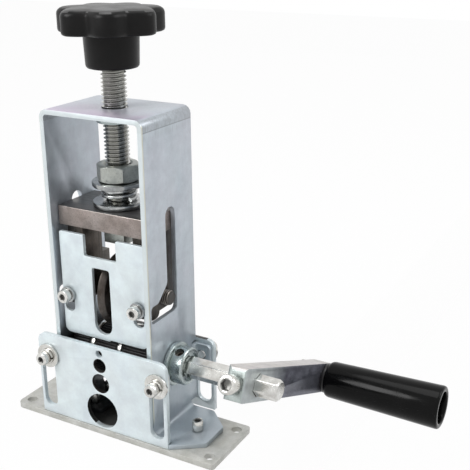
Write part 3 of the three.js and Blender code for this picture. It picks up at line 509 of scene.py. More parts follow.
class Surface(Wiring):
    """The nodes of one material."""

    def __init__(self, name: str) -> None:
        """Makes the material and takes its object coordinates.

        Args:
            name: the material's name.
        """
        self.material = bpy.data.materials.new(name)
        self.material.use_nodes = True
        super().__init__(self.material.node_tree)
        self.shader = self.tree.nodes["Principled BSDF"]
        self.place = self.add("ShaderNodeTexCoord").outputs["Object"]

    def axes(self) -> tuple[Socket, ...]:
        """Splits the object coordinates into their place across, their depth and their height."""
        parts = self.add("ShaderNodeSeparateXYZ")
        self.join(self.place, parts.inputs[0])
        return tuple(parts.outputs)

    def mask(self, effect: Effect, scale: float, stretch: Triple = (1.0, 1.0, 1.0)) -> Socket:
        """Places one of the shared effects.

        Args:
            effect: which one.
            scale: scale of its noise.
            stretch: factor on the coordinates along each axis.

        Returns:
            Its mask.
        """
        node = self.add("ShaderNodeGroup", node_tree=effect.group())
        self.join(self.place, node.inputs["Vector"])
        node.inputs["Stretch"].default_value = stretch
        node.inputs["Scale"].default_value = scale
        return node.outputs["Mask"]

    def finish(self, colour: Socket, roughness: Socket, height: Socket, strength: float, depth: float) -> Material:
        """Joins what a finish gives to the shader.

        Args:
            colour: the base colour.
            roughness: the roughness.
            height: the height of the bump.
            strength: the strength of the bump.
            depth: the depth of the bump, in m.

        Returns:
            The material.
        """
        bump = self.add("ShaderNodeBump", Strength=strength, Distance=depth)
        self.join(height, bump.inputs["Height"])
        for name, source in (("Base Color", colour), ("Roughness", roughness), ("Normal", bump.outputs[0])):
            self.join(source, self.shader.inputs[name])
        return self.material


class Grain(Enum):
    """The way in which a metal's marks run, as a stretch of their noise along each axis."""

    UPRIGHT = (1.0, 1.0, 0.06)
    ALONG = (0.06, 1.0, 1.0)
    EVEN = (1.0, 1.0, 1.0)


@dataclass(frozen=True)
class MetalFinish:
    """A metal surface with clouds, streaks along its grain, speckles, a fine bump and perhaps painted shade that
    darkens the inside of the stand.
    """

    name: str
    light: Colour
    dark: Colour
    tint: Colour
    tinted: float = 0.1
    speckle: Colour = (0.3, 0.3, 0.3)
    speckled: float = 0.2
    streaked: float = 0.25
    grain: Grain = Grain.EVEN
    metallic: float = 0.85
    rough: Limits = (0.25, 0.45)
    bump: float = 0.15
    speckle_scale: float = 1800.0
    # half width, half depth and height of the box inside the stand where shade is painted, or None
    painted_shade: Triple | None = None

    def make(self) -> Material:
        """Builds the material.

        Returns:
            The material.
        """
        surface = Surface(self.name)
        cloud = surface.mask(Effect.CLOUD, 130.0)
        tinting = surface.mask(Effect.CLOUD, 55.0, (1.0, 1.3, 0.8))
        streak = surface.mask(Effect.STREAK, 900.0, self.grain.value)
        speck = surface.mask(Effect.SPECKLE, self.speckle_scale)
        colour = surface.blend(cloud, self.dark, self.light)
        for mask, share, tone in (
            (tinting, self.tinted, self.tint), (streak, self.streaked, self.dark),
            (speck, self.speckled, self.speckle),
        ):
            colour = surface.blend(surface.product(mask, share), colour, tone)
        colour = self.marks(surface, colour)
        # painted shade inside the stand round the rollers
        if self.painted_shade:
            colour = self._painted_inner_shade(surface, colour)
        surface.shader.inputs["Metallic"].default_value = self.metallic
        worn = surface.product(surface.math("ADD", cloud, streak), 0.5)
        roughness = surface.range(worn, 0.0, 1.0, *self.rough)
        return surface.finish(colour, roughness, surface.math("ADD", streak, speck), self.bump, 0.00006)

    def _painted_inner_shade(self, surface: Surface, colour: Socket) -> Socket:
        """Paints shade: darkens the inside of the stand round the rollers, within half a width, half a depth and a
        height.

        Args:
            surface: the material's nodes.
            colour: the colour so far.

        Returns:
            The colour with its painted shade inside.
        """
        across, depth, height = surface.axes()
        sides = (surface.math("ABSOLUTE", across), surface.math("ABSOLUTE", depth), height)
        inside = [
            surface.range(side, limit - soft, limit, 1.0, 0.0)
            for side, limit, soft in zip(sides, self.painted_shade, (0.0001, 0.0015, 0.012))
        ]
        return surface.blend(surface.product(*inside, 0.92), colour, (0.02, 0.02, 0.02))

    def marks(self, surface: Surface, colour: Socket) -> Socket:
        """Adds marks at certain places of the piece: none on plain metal."""
        return colour


@dataclass(frozen=True)
class FrameFinish(MetalFinish):
    """The bent frame's zinc: front edges painted pale as a highlight, a scraped band under each bend and a greener
    foot. Places are in m.
    """

    # painted highlight on the front edge faces
    front_edge_highlight: Colour = (0.75, 0.82, 0.82)
    warm_line: Colour = (0.66, 0.63, 0.5)
    scraped: Colour = (0.31, 0.33, 0.35)
    scar: Colour = (0.16, 0.17, 0.18)
    low_tone: Colour = (0.36, 0.44, 0.47)
    rosy: Colour = (0.62, 0.52, 0.66)
    outer_face: Limits = (0.0298, 0.0301)
    bend: Limits = (0.0262, 0.0275)
    top: Limits = (0.1711, 0.1714)
    scraped_heights: Limits = (0.1655, 0.1712)
    scar_heights: Limits = (0.1651, 0.1658)
    fringe_heights: Limits = (0.1605, 0.1658)
    foot: Limits = (0.012, 0.016)

    def marks(self, surface: Surface, colour: Socket) -> Socket:
        """Adds the frame's marks by their place across, their depth and their height.

        Args:
            surface: the material's nodes.
            colour: the colour so far.

        Returns:
            The colour with its marks.
        """
        side, depth, height = surface.axes()
        across = surface.math("ABSOLUTE", side)
        outer = surface.range(across, *self.outer_face)
        above_foot = surface.range(height, *self.foot)
        scratch = surface.mask(Effect.STREAK, 1300.0, (1.0, 1.0, 0.3))
        fringe = surface.mask(Effect.STREAK, 520.0, (1.0, 1.0, 0.04))
        low = surface.range(height, 0.03, 0.085, 0.35, 0.0)
        lid = surface.product(
            surface.range(height, *self.top, 0.0, 0.9), surface.range(depth, -0.02, 0.004, 1.0, 0.15),
            surface.mask(Effect.CLOUD, 28.0),
        )
        band = surface.product(
            surface.range(across, *self.bend), surface.band(height, *self.scraped_heights, 0.0003),
            surface.range(scratch, 0.0, 1.0, 0.35, 0.9),
        )
        scar = surface.product(outer, surface.band(height, *self.scar_heights, 0.0002), 0.6)
        hanging = surface.product(outer, surface.band(height, *self.fringe_heights, 0.002), fringe, 0.45)
        line = surface.product(outer, surface.range(depth, -0.0204, -0.0201, 0.7, 0.0), above_foot)
        # painted highlight: the front edge faces turn pale above the foot
        edge = surface.product(surface.range(depth, -0.0211, -0.0209, 0.65, 0.0), above_foot)
        for share, tone in (
            (low, self.low_tone), (lid, self.rosy), (band, self.scraped), (scar, self.scar), (hanging, self.scraped),
            (line, self.warm_line), (edge, self.front_edge_highlight),
        ):
            colour = surface.blend(share, colour, tone)
        return colour


@dataclass(frozen=True)
class ThreadFinish(MetalFinish):
    """Plated thread, darker in its grooves, whose radii and axis height are in m."""

    groove: Colour = (0.05, 0.05, 0.045)
    grooved: float = 0.6
    bottom: float = 0.0053
    crest: float = 0.0058
    across: tuple[int, int] = (0, 1)
    axis_height: float = 0.0

    def marks(self, surface: Surface, colour: Socket) -> Socket:
        """Darkens what lies near the thread's axis.

        Args:
            surface: the material's nodes.
            colour: the colour so far.

        Returns:
            The colour with its darker grooves.
        """
        axes = surface.axes()
        first = axes[self.across[0]]
        second = surface.math("SUBTRACT", axes[self.across[1]], self.axis_height)
        squares = [surface.product(part, part) for part in (first, second)]
        radius = surface.math("SQRT", surface.math("ADD", *squares))
        deep = surface.range(radius, self.bottom, self.crest, self.grooved, 0.0)
        return surface.blend(deep, colour, self.groove)


@dataclass(frozen=True)
class ArmFinish(MetalFinish):
    """The arm's big faces, painted dark and bluish as a dark reflection, with a painted paler reflection near the
    clamp that fades along the rest. Places are in m.
    """

    # colour of the painted paler reflection near the clamp
    pale: Colour = (0.48, 0.52, 0.52)
    angle: float = math.radians(23.8)
    shaft: float = 0.0388
    faded: Limits = (0.006, 0.034)

    def marks(self, surface: Surface, colour: Socket) -> Socket:
        """Paints a paler reflection near the clamp that fades to the dark bar by the distance along the arm.

        Args:
            surface: the material's nodes.
            colour: the colour so far.

        Returns:
            The faded colour.
        """
        _, depth, height = surface.axes()
        back = surface.product(depth, math.cos(self.angle))
        down = surface.product(surface.math("SUBTRACT", self.shaft, height), math.sin(self.angle))
        near = surface.range(surface.math("ADD", back, down), *self.faded, 0.95, 0.0)
        clouded = surface.range(surface.mask(Effect.CLOUD, 240.0), 0.0, 1.0, 0.75, 1.0)
        return surface.blend(surface.product(near, clouded), colour, self.pale)


@dataclass(frozen=True)
class PlasticFinish:
    """A moulded plastic surface with faint clouds and a fine bump."""

    name: str
    colour: Colour
    # second colour in faint clouds and specks: dust, and on the knob's top also a painted sheen
    dust_and_sheen: Colour
    rough: Limits
    bump: float
    specular: float = 0.15

    def make(self) -> Material:
        """Builds the material.

        Returns:
            The material.
        """
        surface = Surface(self.name)
        cloud = surface.mask(Effect.CLOUD, 90.0)
        speck = surface.mask(Effect.SPECKLE, 2600.0)
        colour = surface.blend(surface.product(cloud, 0.5), self.colour, self.dust_and_sheen)
        colour = surface.blend(surface.product(speck, 0.15), colour, self.dust_and_sheen)
        surface.shader.inputs["Specular IOR Level"].default_value = self.specular
        roughness = surface.range(cloud, 0.0, 1.0, *self.rough)
        return surface.finish(colour, roughness, speck, self.bump, 0.00005)


PINK = (0.62, 0.55, 0.64)
STRAW = (0.62, 0.60, 0.48)
RUST = (0.20, 0.13, 0.09)
FINISHES: dict[str, "MetalFinish | PlasticFinish"] = {
    # The sheet and the base paint shade dark inside the stand round the rollers, within the box given last.
    "sheet": FrameFinish(
        "zinc_sheet", (0.56, 0.62, 0.67), (0.46, 0.51, 0.56), PINK, 0.18, streaked=0.2, grain=Grain.UPRIGHT,
        metallic=0.5, rough=(0.3, 0.5), painted_shade=(0.0279, 0.0222, 0.058),
    ),
    "plate": MetalFinish(
        "zinc_plate", (0.75, 0.84, 0.87), (0.66, 0.73, 0.77), (0.70, 0.68, 0.58), 0.12, streaked=0.12, speckled=0.06,
        grain=Grain.UPRIGHT, metallic=0.3, rough=(0.35, 0.5),
    ),
    "turned": MetalFinish(
        "zinc_turned", (0.44, 0.50, 0.50), (0.28, 0.33, 0.34), STRAW, 0.12, speckle=(0.7, 0.74, 0.74), speckled=0.12,
        metallic=0.9, rough=(0.2, 0.4),
    ),
    "base": MetalFinish(
        "zinc_base", (0.60, 0.60, 0.58), (0.44, 0.44, 0.41), STRAW, 0.15, speckled=0.35, grain=Grain.ALONG,
        metallic=0.35, rough=(0.4, 0.6), painted_shade=(0.0279, 0.0215, 0.050),
    ),
    "bright": MetalFinish(
        "bright_zinc", (0.78, 0.78, 0.76), (0.50, 0.49, 0.47), STRAW, 0.15, speckled=0.15, metallic=1.0,
        rough=(0.14, 0.28), bump=0.08,
    ),
    "rod": ThreadFinish(
        "threaded_zinc", (0.55, 0.55, 0.53), (0.40, 0.40, 0.38), STRAW, 0.15, speckled=0.1, metallic=1.0,
        rough=(0.15, 0.3), bump=0.1,
    ),
    "wire": MetalFinish(
        "plated_wire", (0.52, 0.53, 0.53), (0.24, 0.25, 0.26), STRAW, 0.1, speckled=0.1, metallic=1.0,
        rough=(0.14, 0.3), bump=0.08,
    ),
    "nut": MetalFinish(
        "plated_nut", (0.42, 0.44, 0.42), (0.26, 0.28, 0.27), STRAW, 0.15, speckle=(0.06, 0.06, 0.06), speckled=0.45,
        metallic=0.85, rough=(0.28, 0.45), bump=0.3, speckle_scale=1300.0,
    ),
    # The arm is one steel painted by the way its faces point: dark sides for a dark reflection, a pale top and front
    # end for painted light.
    "arm": ArmFinish(
        "arm_steel_painted_reflection", (0.17, 0.18, 0.215), (0.09, 0.095, 0.12), (0.2, 0.17, 0.23), 0.2, speckle=(0.42, 0.44, 0.48),
        speckled=0.35, metallic=0.75, rough=(0.35, 0.55), bump=0.3,
    ),
    "arm_top": MetalFinish(
        "arm_top_painted_light_zinc", (0.62, 0.60, 0.56), (0.42, 0.40, 0.38), PINK, 0.25, speckle=(0.8, 0.8, 0.78), speckled=0.3,
        metallic=0.7, rough=(0.3, 0.5), bump=0.3,
    ),
    "arm_end": MetalFinish(
        "arm_end_painted_light_zinc", (0.50, 0.56, 0.55), (0.34, 0.39, 0.39), STRAW, 0.1, speckle=(0.85, 0.9, 0.88), speckled=0.35,
        metallic=0.7, bump=0.3,
    ),
    "raw": MetalFinish(
        "raw_steel", (0.34, 0.30, 0.28), (0.19, 0.165, 0.15), (0.36, 0.28, 0.25), 0.3, speckle=(0.07, 0.06, 0.055),
        speckled=0.7, metallic=0.6, rough=(0.4, 0.6), bump=0.4, speckle_scale=1500.0,
    ),
    # painted shade: a dark copy of the raw steel for the block's top face
    "raw_top": MetalFinish(
        "raw_steel_top_painted_shade", (0.12, 0.12, 0.12), (0.06, 0.06, 0.06), RUST, speckle=(0.2, 0.2, 0.2), grain=Grain.ALONG,
        metallic=0.6, rough=(0.3, 0.5),
    ),
    # painted highlight: a pale copy of the raw steel for the block's sloped edge faces
    "worn_edge": MetalFinish(
        "worn_edge", (0.62, 0.57, 0.53), (0.42, 0.38, 0.35), RUST, grain=Grain.ALONG, metallic=0.8,
    ),
    "dark": MetalFinish(
        "dark_steel", (0.13, 0.12, 0.105), (0.035, 0.03, 0.026), RUST, 0.25, speckle=(0.3, 0.28, 0.26), speckled=0.12,
        streaked=0.6, grain=Grain.UPRIGHT, metallic=0.6, rough=(0.3, 0.55), bump=0.25,
    ),
    "black": MetalFinish(
        "black_oxide", (0.022, 0.022, 0.024), (0.008, 0.008, 0.009), (0.04, 0.03, 0.025), 0.2,
        speckle=(0.12, 0.12, 0.12), speckled=0.1, metallic=0.3, rough=(0.3, 0.5),
    ),
    # painted shade: near black steel for the walls of the cable holes, standing for their dark reflection
    "painted_shade": MetalFinish("painted_shade_steel", (0.05, 0.05, 0.05), (0.02, 0.02, 0.02), RUST, metallic=0.2, speckled=0.1),
    "socket": MetalFinish("socket_zinc", (0.30, 0.30, 0.29), (0.12, 0.12, 0.12), STRAW, metallic=0.6),
    "axle": ThreadFinish(
        "raw_thread", (0.40, 0.37, 0.34), (0.24, 0.22, 0.20), RUST, 0.2, metallic=0.8, rough=(0.3, 0.5),
        groove=(0.02, 0.02, 0.02), grooved=0.85, bottom=0.0034, crest=0.0039, across=(1, 2), axis_height=0.0755,
    ),
    "blade": MetalFinish(
        "blade_steel", (0.10, 0.095, 0.09), (0.03, 0.027, 0.025), RUST, 0.2, speckled=0.1, streaked=0.5,
        grain=Grain.UPRIGHT, metallic=0.7,
    ),
    # painted sheen: a lighter, glossier copy of the knob's plastic for its top faces
    "knob_top": PlasticFinish(
        "knob_top_sheen_plastic", (0.03, 0.03, 0.03), (0.06, 0.058, 0.056), rough=(0.35, 0.5), bump=0.25, specular=0.5,
    ),
    "knob": PlasticFinish("knob_plastic", (0.005, 0.005, 0.005), (0.012, 0.011, 0.011), rough=(0.3, 0.42), bump=0.2),
    "grip": PlasticFinish(
        "grip_plastic", (0.002, 0.002, 0.002), (0.005, 0.005, 0.005), rough=(0.1, 0.2), bump=0.04, specular=0.12,
    ),
}


class Workshop:
    """All the materials, made once: one for each finish, under its name."""

    def __init__(self) -> None:
        """Makes every finish."""
        for name, finish in FINISHES.items():
            setattr(self, name, finish.make())


# Sub-assemblies


@dataclass
class CapScrew:
    """A socket head cap screw with a knurled head."""

    shank: float
    head: float
    tall: float
    socket: float
    length: float = 0.0
    flutes: int = 36

    def build(self) -> Mesh:
        """Builds the screw about Z, its head above zero and its shank below, with a second material in its socket.

        Returns:
            The mesh, in mm.
        """
        knurl = fluted_radius(self.head / 2, 0.12, self.flutes)
        opening = hexagon_radius(self.socket)
        edge, top, shank, head = self.head * 0.05, self.tall, self.shank / 2, self.head / 2
        rings = [
            (-self.length, shank - 0.4), (0.4 - self.length, shank), (0.0, shank), (0.0, head - 2 * edge),
            (edge * 0.8, head - 0.14), (edge * 1.5, knurl), (top - edge * 2.2, knurl),
            (top - edge * 1.6, head - 0.14), (top - edge * 0.4, head - edge), (top, head - 2.2 * edge),
            (top, self.socket * 0.62), (top - 0.35, opening), (top * 0.45, opening), (top * 0.4, self.socket * 0.3),
        ]
        mesh = tower(rings, self.flutes * 4)
        for face in mesh.faces:
            centre = face.calc_center_median()
            if centre.z > top * 0.3 and math.hypot(centre.x, centre.y) < self.socket * 0.6:
                face.material_index = 1
        return mesh

    def dress(self, node: str, workshop: Workshop, place: Matrix) -> None:
        """Stands the screw in for a CAD node, with a darker socket.

        Args:
            node: the CAD node.
            workshop: the finishes.
            place: where the underside of its head lies, in mm.
        """
        dress(node, self.build(), workshop.bright, place).data.materials.append(workshop.socket)

    def fit(self, node: str, axis: int, facing: float, workshop: Workshop) -> None:
        """Stands the screw in for a CAD node and takes its length from the node.

        Args:
            node: the CAD node.
            axis: number of the axis that the screw lies along.
            facing: 1 where its head is at the node's high end, or -1.
            workshop: the finishes.
        """
        low, high = span(node, axis)
        tip, end = (high, low) if facing < 0 else (low, high)
        place = middle(node)
        place[axis] = end - facing * self.tall
        self.length = abs(place[axis] - tip)
        self.dress(node, workshop, aimed(place, along(axis, facing)))


@dataclass
class Stand:
    """The base plate, the bent frame, the bushes and everything screwed to them."""

    workshop: Workshop
    edge: float = 0.3
    shaft_height: float = 38.8
    clamps: Sequence[str] = ("front_left", "front_right", "rear_left", "rear_right")
    foot_screws: Sequence[str] = ("right_foot_screw", "left_foot_screw_front", "left_foot_screw_rear")

    def build(self) -> None:
        """Builds and dresses every fixed piece."""
        shop = self.workshop
        dress("base_plate", softened("base_plate", 0.4), shop.base)
        dress("frame", softened("frame", self.edge), shop.sheet)
        washer("top_weld_nut", 2, 6.65, 9.5, shop.turned, 0.5)
        self._bushes()
        for name in self.clamps:
            facing = -1.0 if name.startswith("front") else 1.0
            CapScrew(shank=5.0, head=7.0, tall=4.0, socket=3.0).fit(f"{name}_clamp_screw", 1, facing, shop)
            washer(f"{name}_broad_washer", 1, 2.8, 6.7, shop.bright)
            dress(f"{name}_spring_washer", softened(f"{name}_spring_washer", 0.12), shop.bright)
        for name in self.foot_screws:
            CapScrew(shank=4.0, head=5.8, tall=5.6, socket=3.0).fit(name, 2, 1.0, shop)

    def _bushes(self) -> None:
        """Builds the two bushes of the crank shaft."""
        for name, side in (("left_bush", -1), ("right_bush", 1)):
            rings = [
                (27.3, 5.3), (27.0, 5.7), (27.0, 6.5), (27.4, 6.8), (30.45, 6.8), (30.45, 11.4), (30.7, 11.8),
                (32.2, 11.8), (32.75, 11.55), (32.95, 11.0), (32.95, 5.7), (32.6, 5.3),
            ]
            place = aimed(Vector((0, 0, self.shaft_height)), along(0, side))
            dress(name, tower(rings, 72, True), self.workshop.turned, place)


@dataclass
class GuidePlates:
    """The two cable guide plates, which slide on their clamp screws."""

    workshop: Workshop
    edge: float = 0.35

    def build(self) -> None:
        """Builds and dresses both plates."""
        for name in ("front_guide_plate", "rear_guide_plate"):
            plate = dress(name, softened(name, self.edge), self.workshop.plate)
            # the walls of the cable holes are painted dark: a painted dark reflection
            paint(plate, self.workshop.painted_shade, self._in_cable_hole)

    @staticmethod
    def _in_cable_hole(face: bpy.types.MeshPolygon) -> bool:
        """Tells whether a face is the wall of a cable hole."""
        across, height = abs(face.center.x) / MM, face.center.z / MM
        return across < 11.0 and 5.0 < height < 44.0 and abs(face.normal.y) < 0.5


@dataclass
class CrankDrive:
    """The shaft, its rollers, the arm and the handle."""

    workshop: Workshop
    shaft_height: float = 38.8
    arm_angle: float = math.radians(23.8)
    screw_seat: float = 19.1
    hexagon_start: float = 38.7
    across_flats: float = 10.0
    round_radius: float = 5.0
    roller_radius: float = 15.2
    roller_names: Sequence[str] = ("left_side_roller", "feed_wheel", "right_side_roller")
    grip_inner: float = 10.7
    grip_outer: float = 12.4
    grip_bore: float = 9.0
    grip_deep: float = 50.0

    @property
    def axis(self) -> Vector:
        """A point on the shaft's axis."""
        return Vector((0, 0, self.shaft_height))

    def build(self) -> None:
        """Builds and dresses everything that the crank turns."""
        shop = self.workshop
        self._shaft()
        self._rollers()
        for name, material, width in (
            ("shaft_collar", shop.turned, 0.3), ("collar_set_screw", shop.dark, 0.1), ("shaft_clip", shop.dark, 0.12),
        ):
            dress(name, softened(name, width), material)
        arm = dress("crank_arm", softened("crank_arm", 0.5), shop.arm)
        # painted light: the top and the front-facing end take paler copies of the arm's steel
        paint(arm, shop.arm_top, lambda face: face.normal.z > 0.5 and abs(face.normal.x) < 0.8)
        paint(arm, shop.arm_end, lambda face: face.normal.y < -0.55 and face.normal.z < 0.6)
        direction = Vector((0, -math.cos(self.arm_angle), math.sin(self.arm_angle)))
        place = self.axis + direction * self.screw_seat
        place.x = middle("arm_clamp_screw").x
        screw = CapScrew(shank=6.0, head=10.0, tall=6.0, socket=5.0, length=13.5, flutes=44)
        screw.dress("arm_clamp_screw", shop, aimed(place, direction))
        self._handle()

    def _shaft(self) -> None:
        """Builds the shaft: round through the frame and hexagonal outside."""
        low, high = span("crank_shaft", 0)
        start = self.hexagon_start
        turn = math.radians(150) - self.arm_angle
        flats = hexagon_radius(self.across_flats, turn)
        corner = self.across_flats / 2 / math.cos(math.pi / 6)
        rings = [
            (low, self.round_radius - 0.6), (low + 0.6, self.round_radius), (start - 0.1, self.round_radius),
            (start, smaller(flats, corner - 0.7)), (start + 0.7, smaller(flats, corner - 0.1)),
            (start + 1.0, flats), (high - 1.4, flats), (high - 1.0, smaller(flats, corner - 0.35)),
            (high - 0.6, smaller(flats, corner - 0.75)), (high - 0.2, smaller(flats, corner - 1.15)), (high, 4.3),
        ]
        place = aimed(self.axis, along(0))
        dress("crank_shaft", tower(rings, 96), self.workshop.bright, place, 25.0)

    def _rollers(self) -> None:
        """Builds the knurled rollers and the two plain rings between them."""
        place = aimed(self.axis, along(0))
        for name in self.roller_names:
            low, high = span(name, 0)
            radius = self.roller_radius
            knurl = fluted_radius(radius, 0.45, 60)
            rings = [
                (low + 0.3, 5.3), (low, 5.6), (low, radius - 0.9), (low + 0.5, radius - 0.45), (low + 0.9, knurl),
                (high - 0.9, knurl), (high - 0.5, radius - 0.45), (high, radius - 0.9), (high, 5.6), (high - 0.3, 5.3),
            ]
            dress(name, tower(rings, 240, True), self.workshop.black, place)
        for name in ("left_spacer_ring", "right_spacer_ring"):
            washer(name, 0, 5.3, self.roller_radius, self.workshop.bright, 0.3, 96)

    def _handle(self) -> None:
        """Builds the spindle, its nut, the washer and the tapered grip."""
        shop, bore, deep = self.workshop, self.grip_bore, self.grip_deep
        place = aimed(Vector((0, middle("handle_grip").y, middle("handle_grip").z)), along(0))
        low, high = span("handle_grip", 0)
        inner, outer = self.grip_inner, self.grip_outer
        slope = (outer - inner) / (high - low)
        grip = [
            (high - deep, 5.3), (low + 0.4, 5.3), (low, 5.8), (low, inner - 2.4), (low + 0.3, inner - 1.3),
            (low + 0.9, inner - 0.55), (low + 1.8, inner - 0.12), (low + 2.8, inner + 2.8 * slope),
            (low + 25.0, inner + 25.0 * slope), (low + 50.0, inner + 50.0 * slope), (high - 1.6, outer - 0.04),
            (high - 0.8, outer - 0.15), (high - 0.25, outer - 0.55), (high, outer - 1.1), (high, bore + 0.8),
            (high - 0.3, bore + 0.2), (high - 0.9, bore), (high - deep + 0.5, bore), (high - deep, bore - 0.5),
        ]
        dress("handle_grip", tower(grip, 96, True), shop.grip, place)
        low, high = span("handle_spindle", 0)
        socket = hexagon_radius(6.0)
        spindle = [
            (low, 3.3), (low + 0.6, 4.0), (80.0, 4.0), (80.05, 5.0), (high - 5.0, 5.0), (high - 5.0, 6.7),
            (high - 4.6, 7.0), (high - 0.6, 7.0), (high, 6.4), (high, 3.8), (high - 0.3, socket), (high - 3.0, socket),
        ]
        dress("handle_spindle", tower(spindle, 72), shop.bright, place)
        low, high = span("spindle_nut", 0)
        dress("spindle_nut", nut_mesh(low, high, 13.0, 4.3, 0.0), shop.bright, place)
        washer("grip_washer", 0, 5.3, 8.75, shop.black)


def nut_mesh(low: float, high: float, across_flats: float, bore: float, turn: float) -> Mesh:
    """Builds a hexagon nut about Z with turned chamfers.

    Args:
        low: height of the lower face, in mm.
        high: height of the upper face, in mm.
        across_flats: distance between opposite flats, in mm.
        bore: radius of the hole, in mm.
        turn: angle of a corner, in radians.

    Returns:
        The mesh, in mm.
    """
    flats = hexagon_radius(across_flats, turn)
    half = across_flats / 2
    cone = [(0.0, half - 0.25), (0.15, half + 0.1), (0.4, half + 0.55), (0.7, half + 1.0), (1.1, half + 1.6)]
    rings: list[Ring] = [(low + 0.9, bore), (low, bore + 0.9)]
    rings += [(low + rise, smaller(flats, limit)) for rise, limit in cone]
    rings += [(high - rise, smaller(flats, limit)) for rise, limit in reversed(cone)]
    rings += [(high, bore + 0.9), (high - 0.9, bore)]
    return tower(rings, 144, True)


@dataclass
class PressureScrew:
    """The star knob, the threaded rod, the lock nut and the retainer."""

    workshop: Workshop
    rod_radius: float = 6.35
    tail_radius: float = 4.0
    shoulder: float = 123.0
    pitch: float = 25.4 / 13
    nut_angle: float = math.radians(76.7)
    lobes: int = 7
    lobe_angle: float = math.radians(-57.5)
    lobe_radius: float = 26.3
    valley_radius: float = 21.7

    def star(self, inset: float = 0.0, share: float = 1.0) -> RadiusRule:
        """Gives the knob's outline.

        Args:
            inset: distance inside the full outline, in mm.
            share: how deep the valleys are, from 0 for a circle to 1.

        Returns:
            A rule from an angle to a radius in mm.
        """
        depth = (self.lobe_radius - self.valley_radius) * share

        def rule(angle: float) -> float:
            """Radius of the star at an angle."""
            wave = 0.5 + 0.5 * math.cos(self.lobes * (angle - self.lobe_angle))
            return self.lobe_radius - inset - depth * (1 - wave ** 0.75)

        return rule

    def build(self) -> None:
        """Builds and dresses everything that turns with the knob."""
        shop = self.workshop
        low, high = span("threaded_rod", 2)
        tip = self.tail_radius
        tail = tower([(low, tip - 0.8), (low + 0.8, tip), (self.shoulder + 0.5, tip)], 48)
        rod = joined(thread(self.rod_radius, self.pitch, self.shoulder, high), tail)
        dress("threaded_rod", rod, shop.rod, smooth=30.0)
        self._knob()
        low, high = span("rod_nut", 2)
        dress("rod_nut", nut_mesh(low, high, 20.0, 6.65, self.nut_angle), shop.nut, smooth=25.0)
        washer("upper_washer", 2, 6.75, 13.5, shop.wire, 0.35, 96)
        dress("rod_retainer", softened("rod_retainer", 0.35), shop.nut)

    def _knob(self) -> None:
        """Builds the star knob with its stem and domed top."""
        low, high = span("star_knob", 2)
        rim, shoulder = low + 16.4, high - 2.0
        star = self.star
        rings = [
            (high - 8.0, 6.65), (low + 0.4, 6.65), (low, 7.1), (low, 11.4), (low + 0.25, 12.3), (low + 0.9, 12.85),
            (low + 1.8, 13.05), (rim - 1.2, 13.55), (rim - 0.4, 13.8), (rim, 14.6), (rim, star(4.5)),
            (rim + 0.15, star(1.5)), (rim + 0.6, star(0.5)), (rim + 1.5, star(0.05)), (rim + 2.2, star()),
            (shoulder - 1.7, star()), (shoulder - 0.7, star(0.25)), (shoulder + 0.2, star(0.9)),
            (shoulder + 0.9, star(1.9)), (shoulder + 1.35, star(3.0)), (shoulder + 1.6, star(4.6, 0.95)),
            (shoulder + 1.7, star(9.0, 0.6)), (shoulder + 1.8, star(15.0, 0.2)), (shoulder + 1.95, 6.0),
            (high, 2.0),
        ]
        knob = dress("star_knob", tower(rings, 196), self.workshop.knob)
        # the top faces take the lighter copy: a painted sheen
        paint(knob, self.workshop.knob_top, lambda face: face.normal.z > 0.8 and face.center.z > (high - 4.0) * MM)


@dataclass
class BladeCarriage:
    """The block, the cheeks, the blade, the cover plate and the spring stack's lower part."""

    workshop: Workshop
    axle_height: float = 75.5
    blade_radius: float = 20.0

    def build(self) -> None:
        """Builds and dresses everything that rises with the carriage."""
        shop = self.workshop
        for name, material, width in (
            ("left_cheek", shop.dark, 0.4), ("right_cheek", shop.dark, 0.4), ("cover_plate", shop.plate, 0.3),
        ):
            dress(name, softened(name, width), material)
        block = dress("carriage_block", softened("carriage_block", 0.35), shop.raw)
        # the top face takes a dark copy: painted shade
        paint(block, shop.raw_top, lambda face: face.normal.z > 0.9)
        # the sloped edge faces take a pale copy: a painted highlight
        paint(block, shop.worn_edge, lambda face: 0.3 < face.normal.z < 0.9)
        washer("lower_washer", 2, 6.75, 13.5, shop.wire, 0.35, 96)
        dress("pressure_spring", coil(8.2, 2.2, 2.6, 2, span("pressure_spring", 2)[0]), shop.wire)
        self._blade()
        for side in ("left", "right"):
            CapScrew(shank=4.0, head=7.0, tall=4.0, socket=3.0).fit(f"{side}_cover_screw", 1, -1.0, shop)
            washer(f"{side}_cover_washer", 1, 2.3, 4.3, shop.wire, segments=48)

    def _blade(self) -> None:
        """Builds the axle, the round blade, its hub and its spacer."""
        shop = self.workshop
        place = aimed(Vector((0, 0, self.axle_height)), along(0))
        low, high = span("blade_axle", 0)
        dress("blade_axle", thread(4.0, 1.25, low, high, 0.7), shop.axle, place, 30.0)
        low, high = span("blade_wheel", 0)
        radius = self.blade_radius
        rings = [
            (low + 0.3, 4.3), (low, 4.6), (low, radius - 0.15), (low + 0.1, radius), (low + 0.35, radius),
            (high - 0.1, radius - 2.1), (high, radius - 2.3), (high, 4.6), (high - 0.3, 4.3),
        ]
        dress("blade_wheel", tower(rings, 128, True), shop.blade, place)
        low, high = span("blade_hub", 0)
        hub = [
            (low, 4.3), (low, 12.2), (low + 0.3, 12.5), (low + 2.3, 12.5), (low + 2.6, 12.2), (low + 2.6, 7.3),
            (low + 2.9, 7.0), (high - 0.3, 7.0), (high, 6.7), (high, 4.3),
        ]
        dress("blade_hub", tower(hub, 72, True), shop.dark, place)
        washer("blade_spacer", 0, 4.3, 7.0, shop.dark, 0.3)


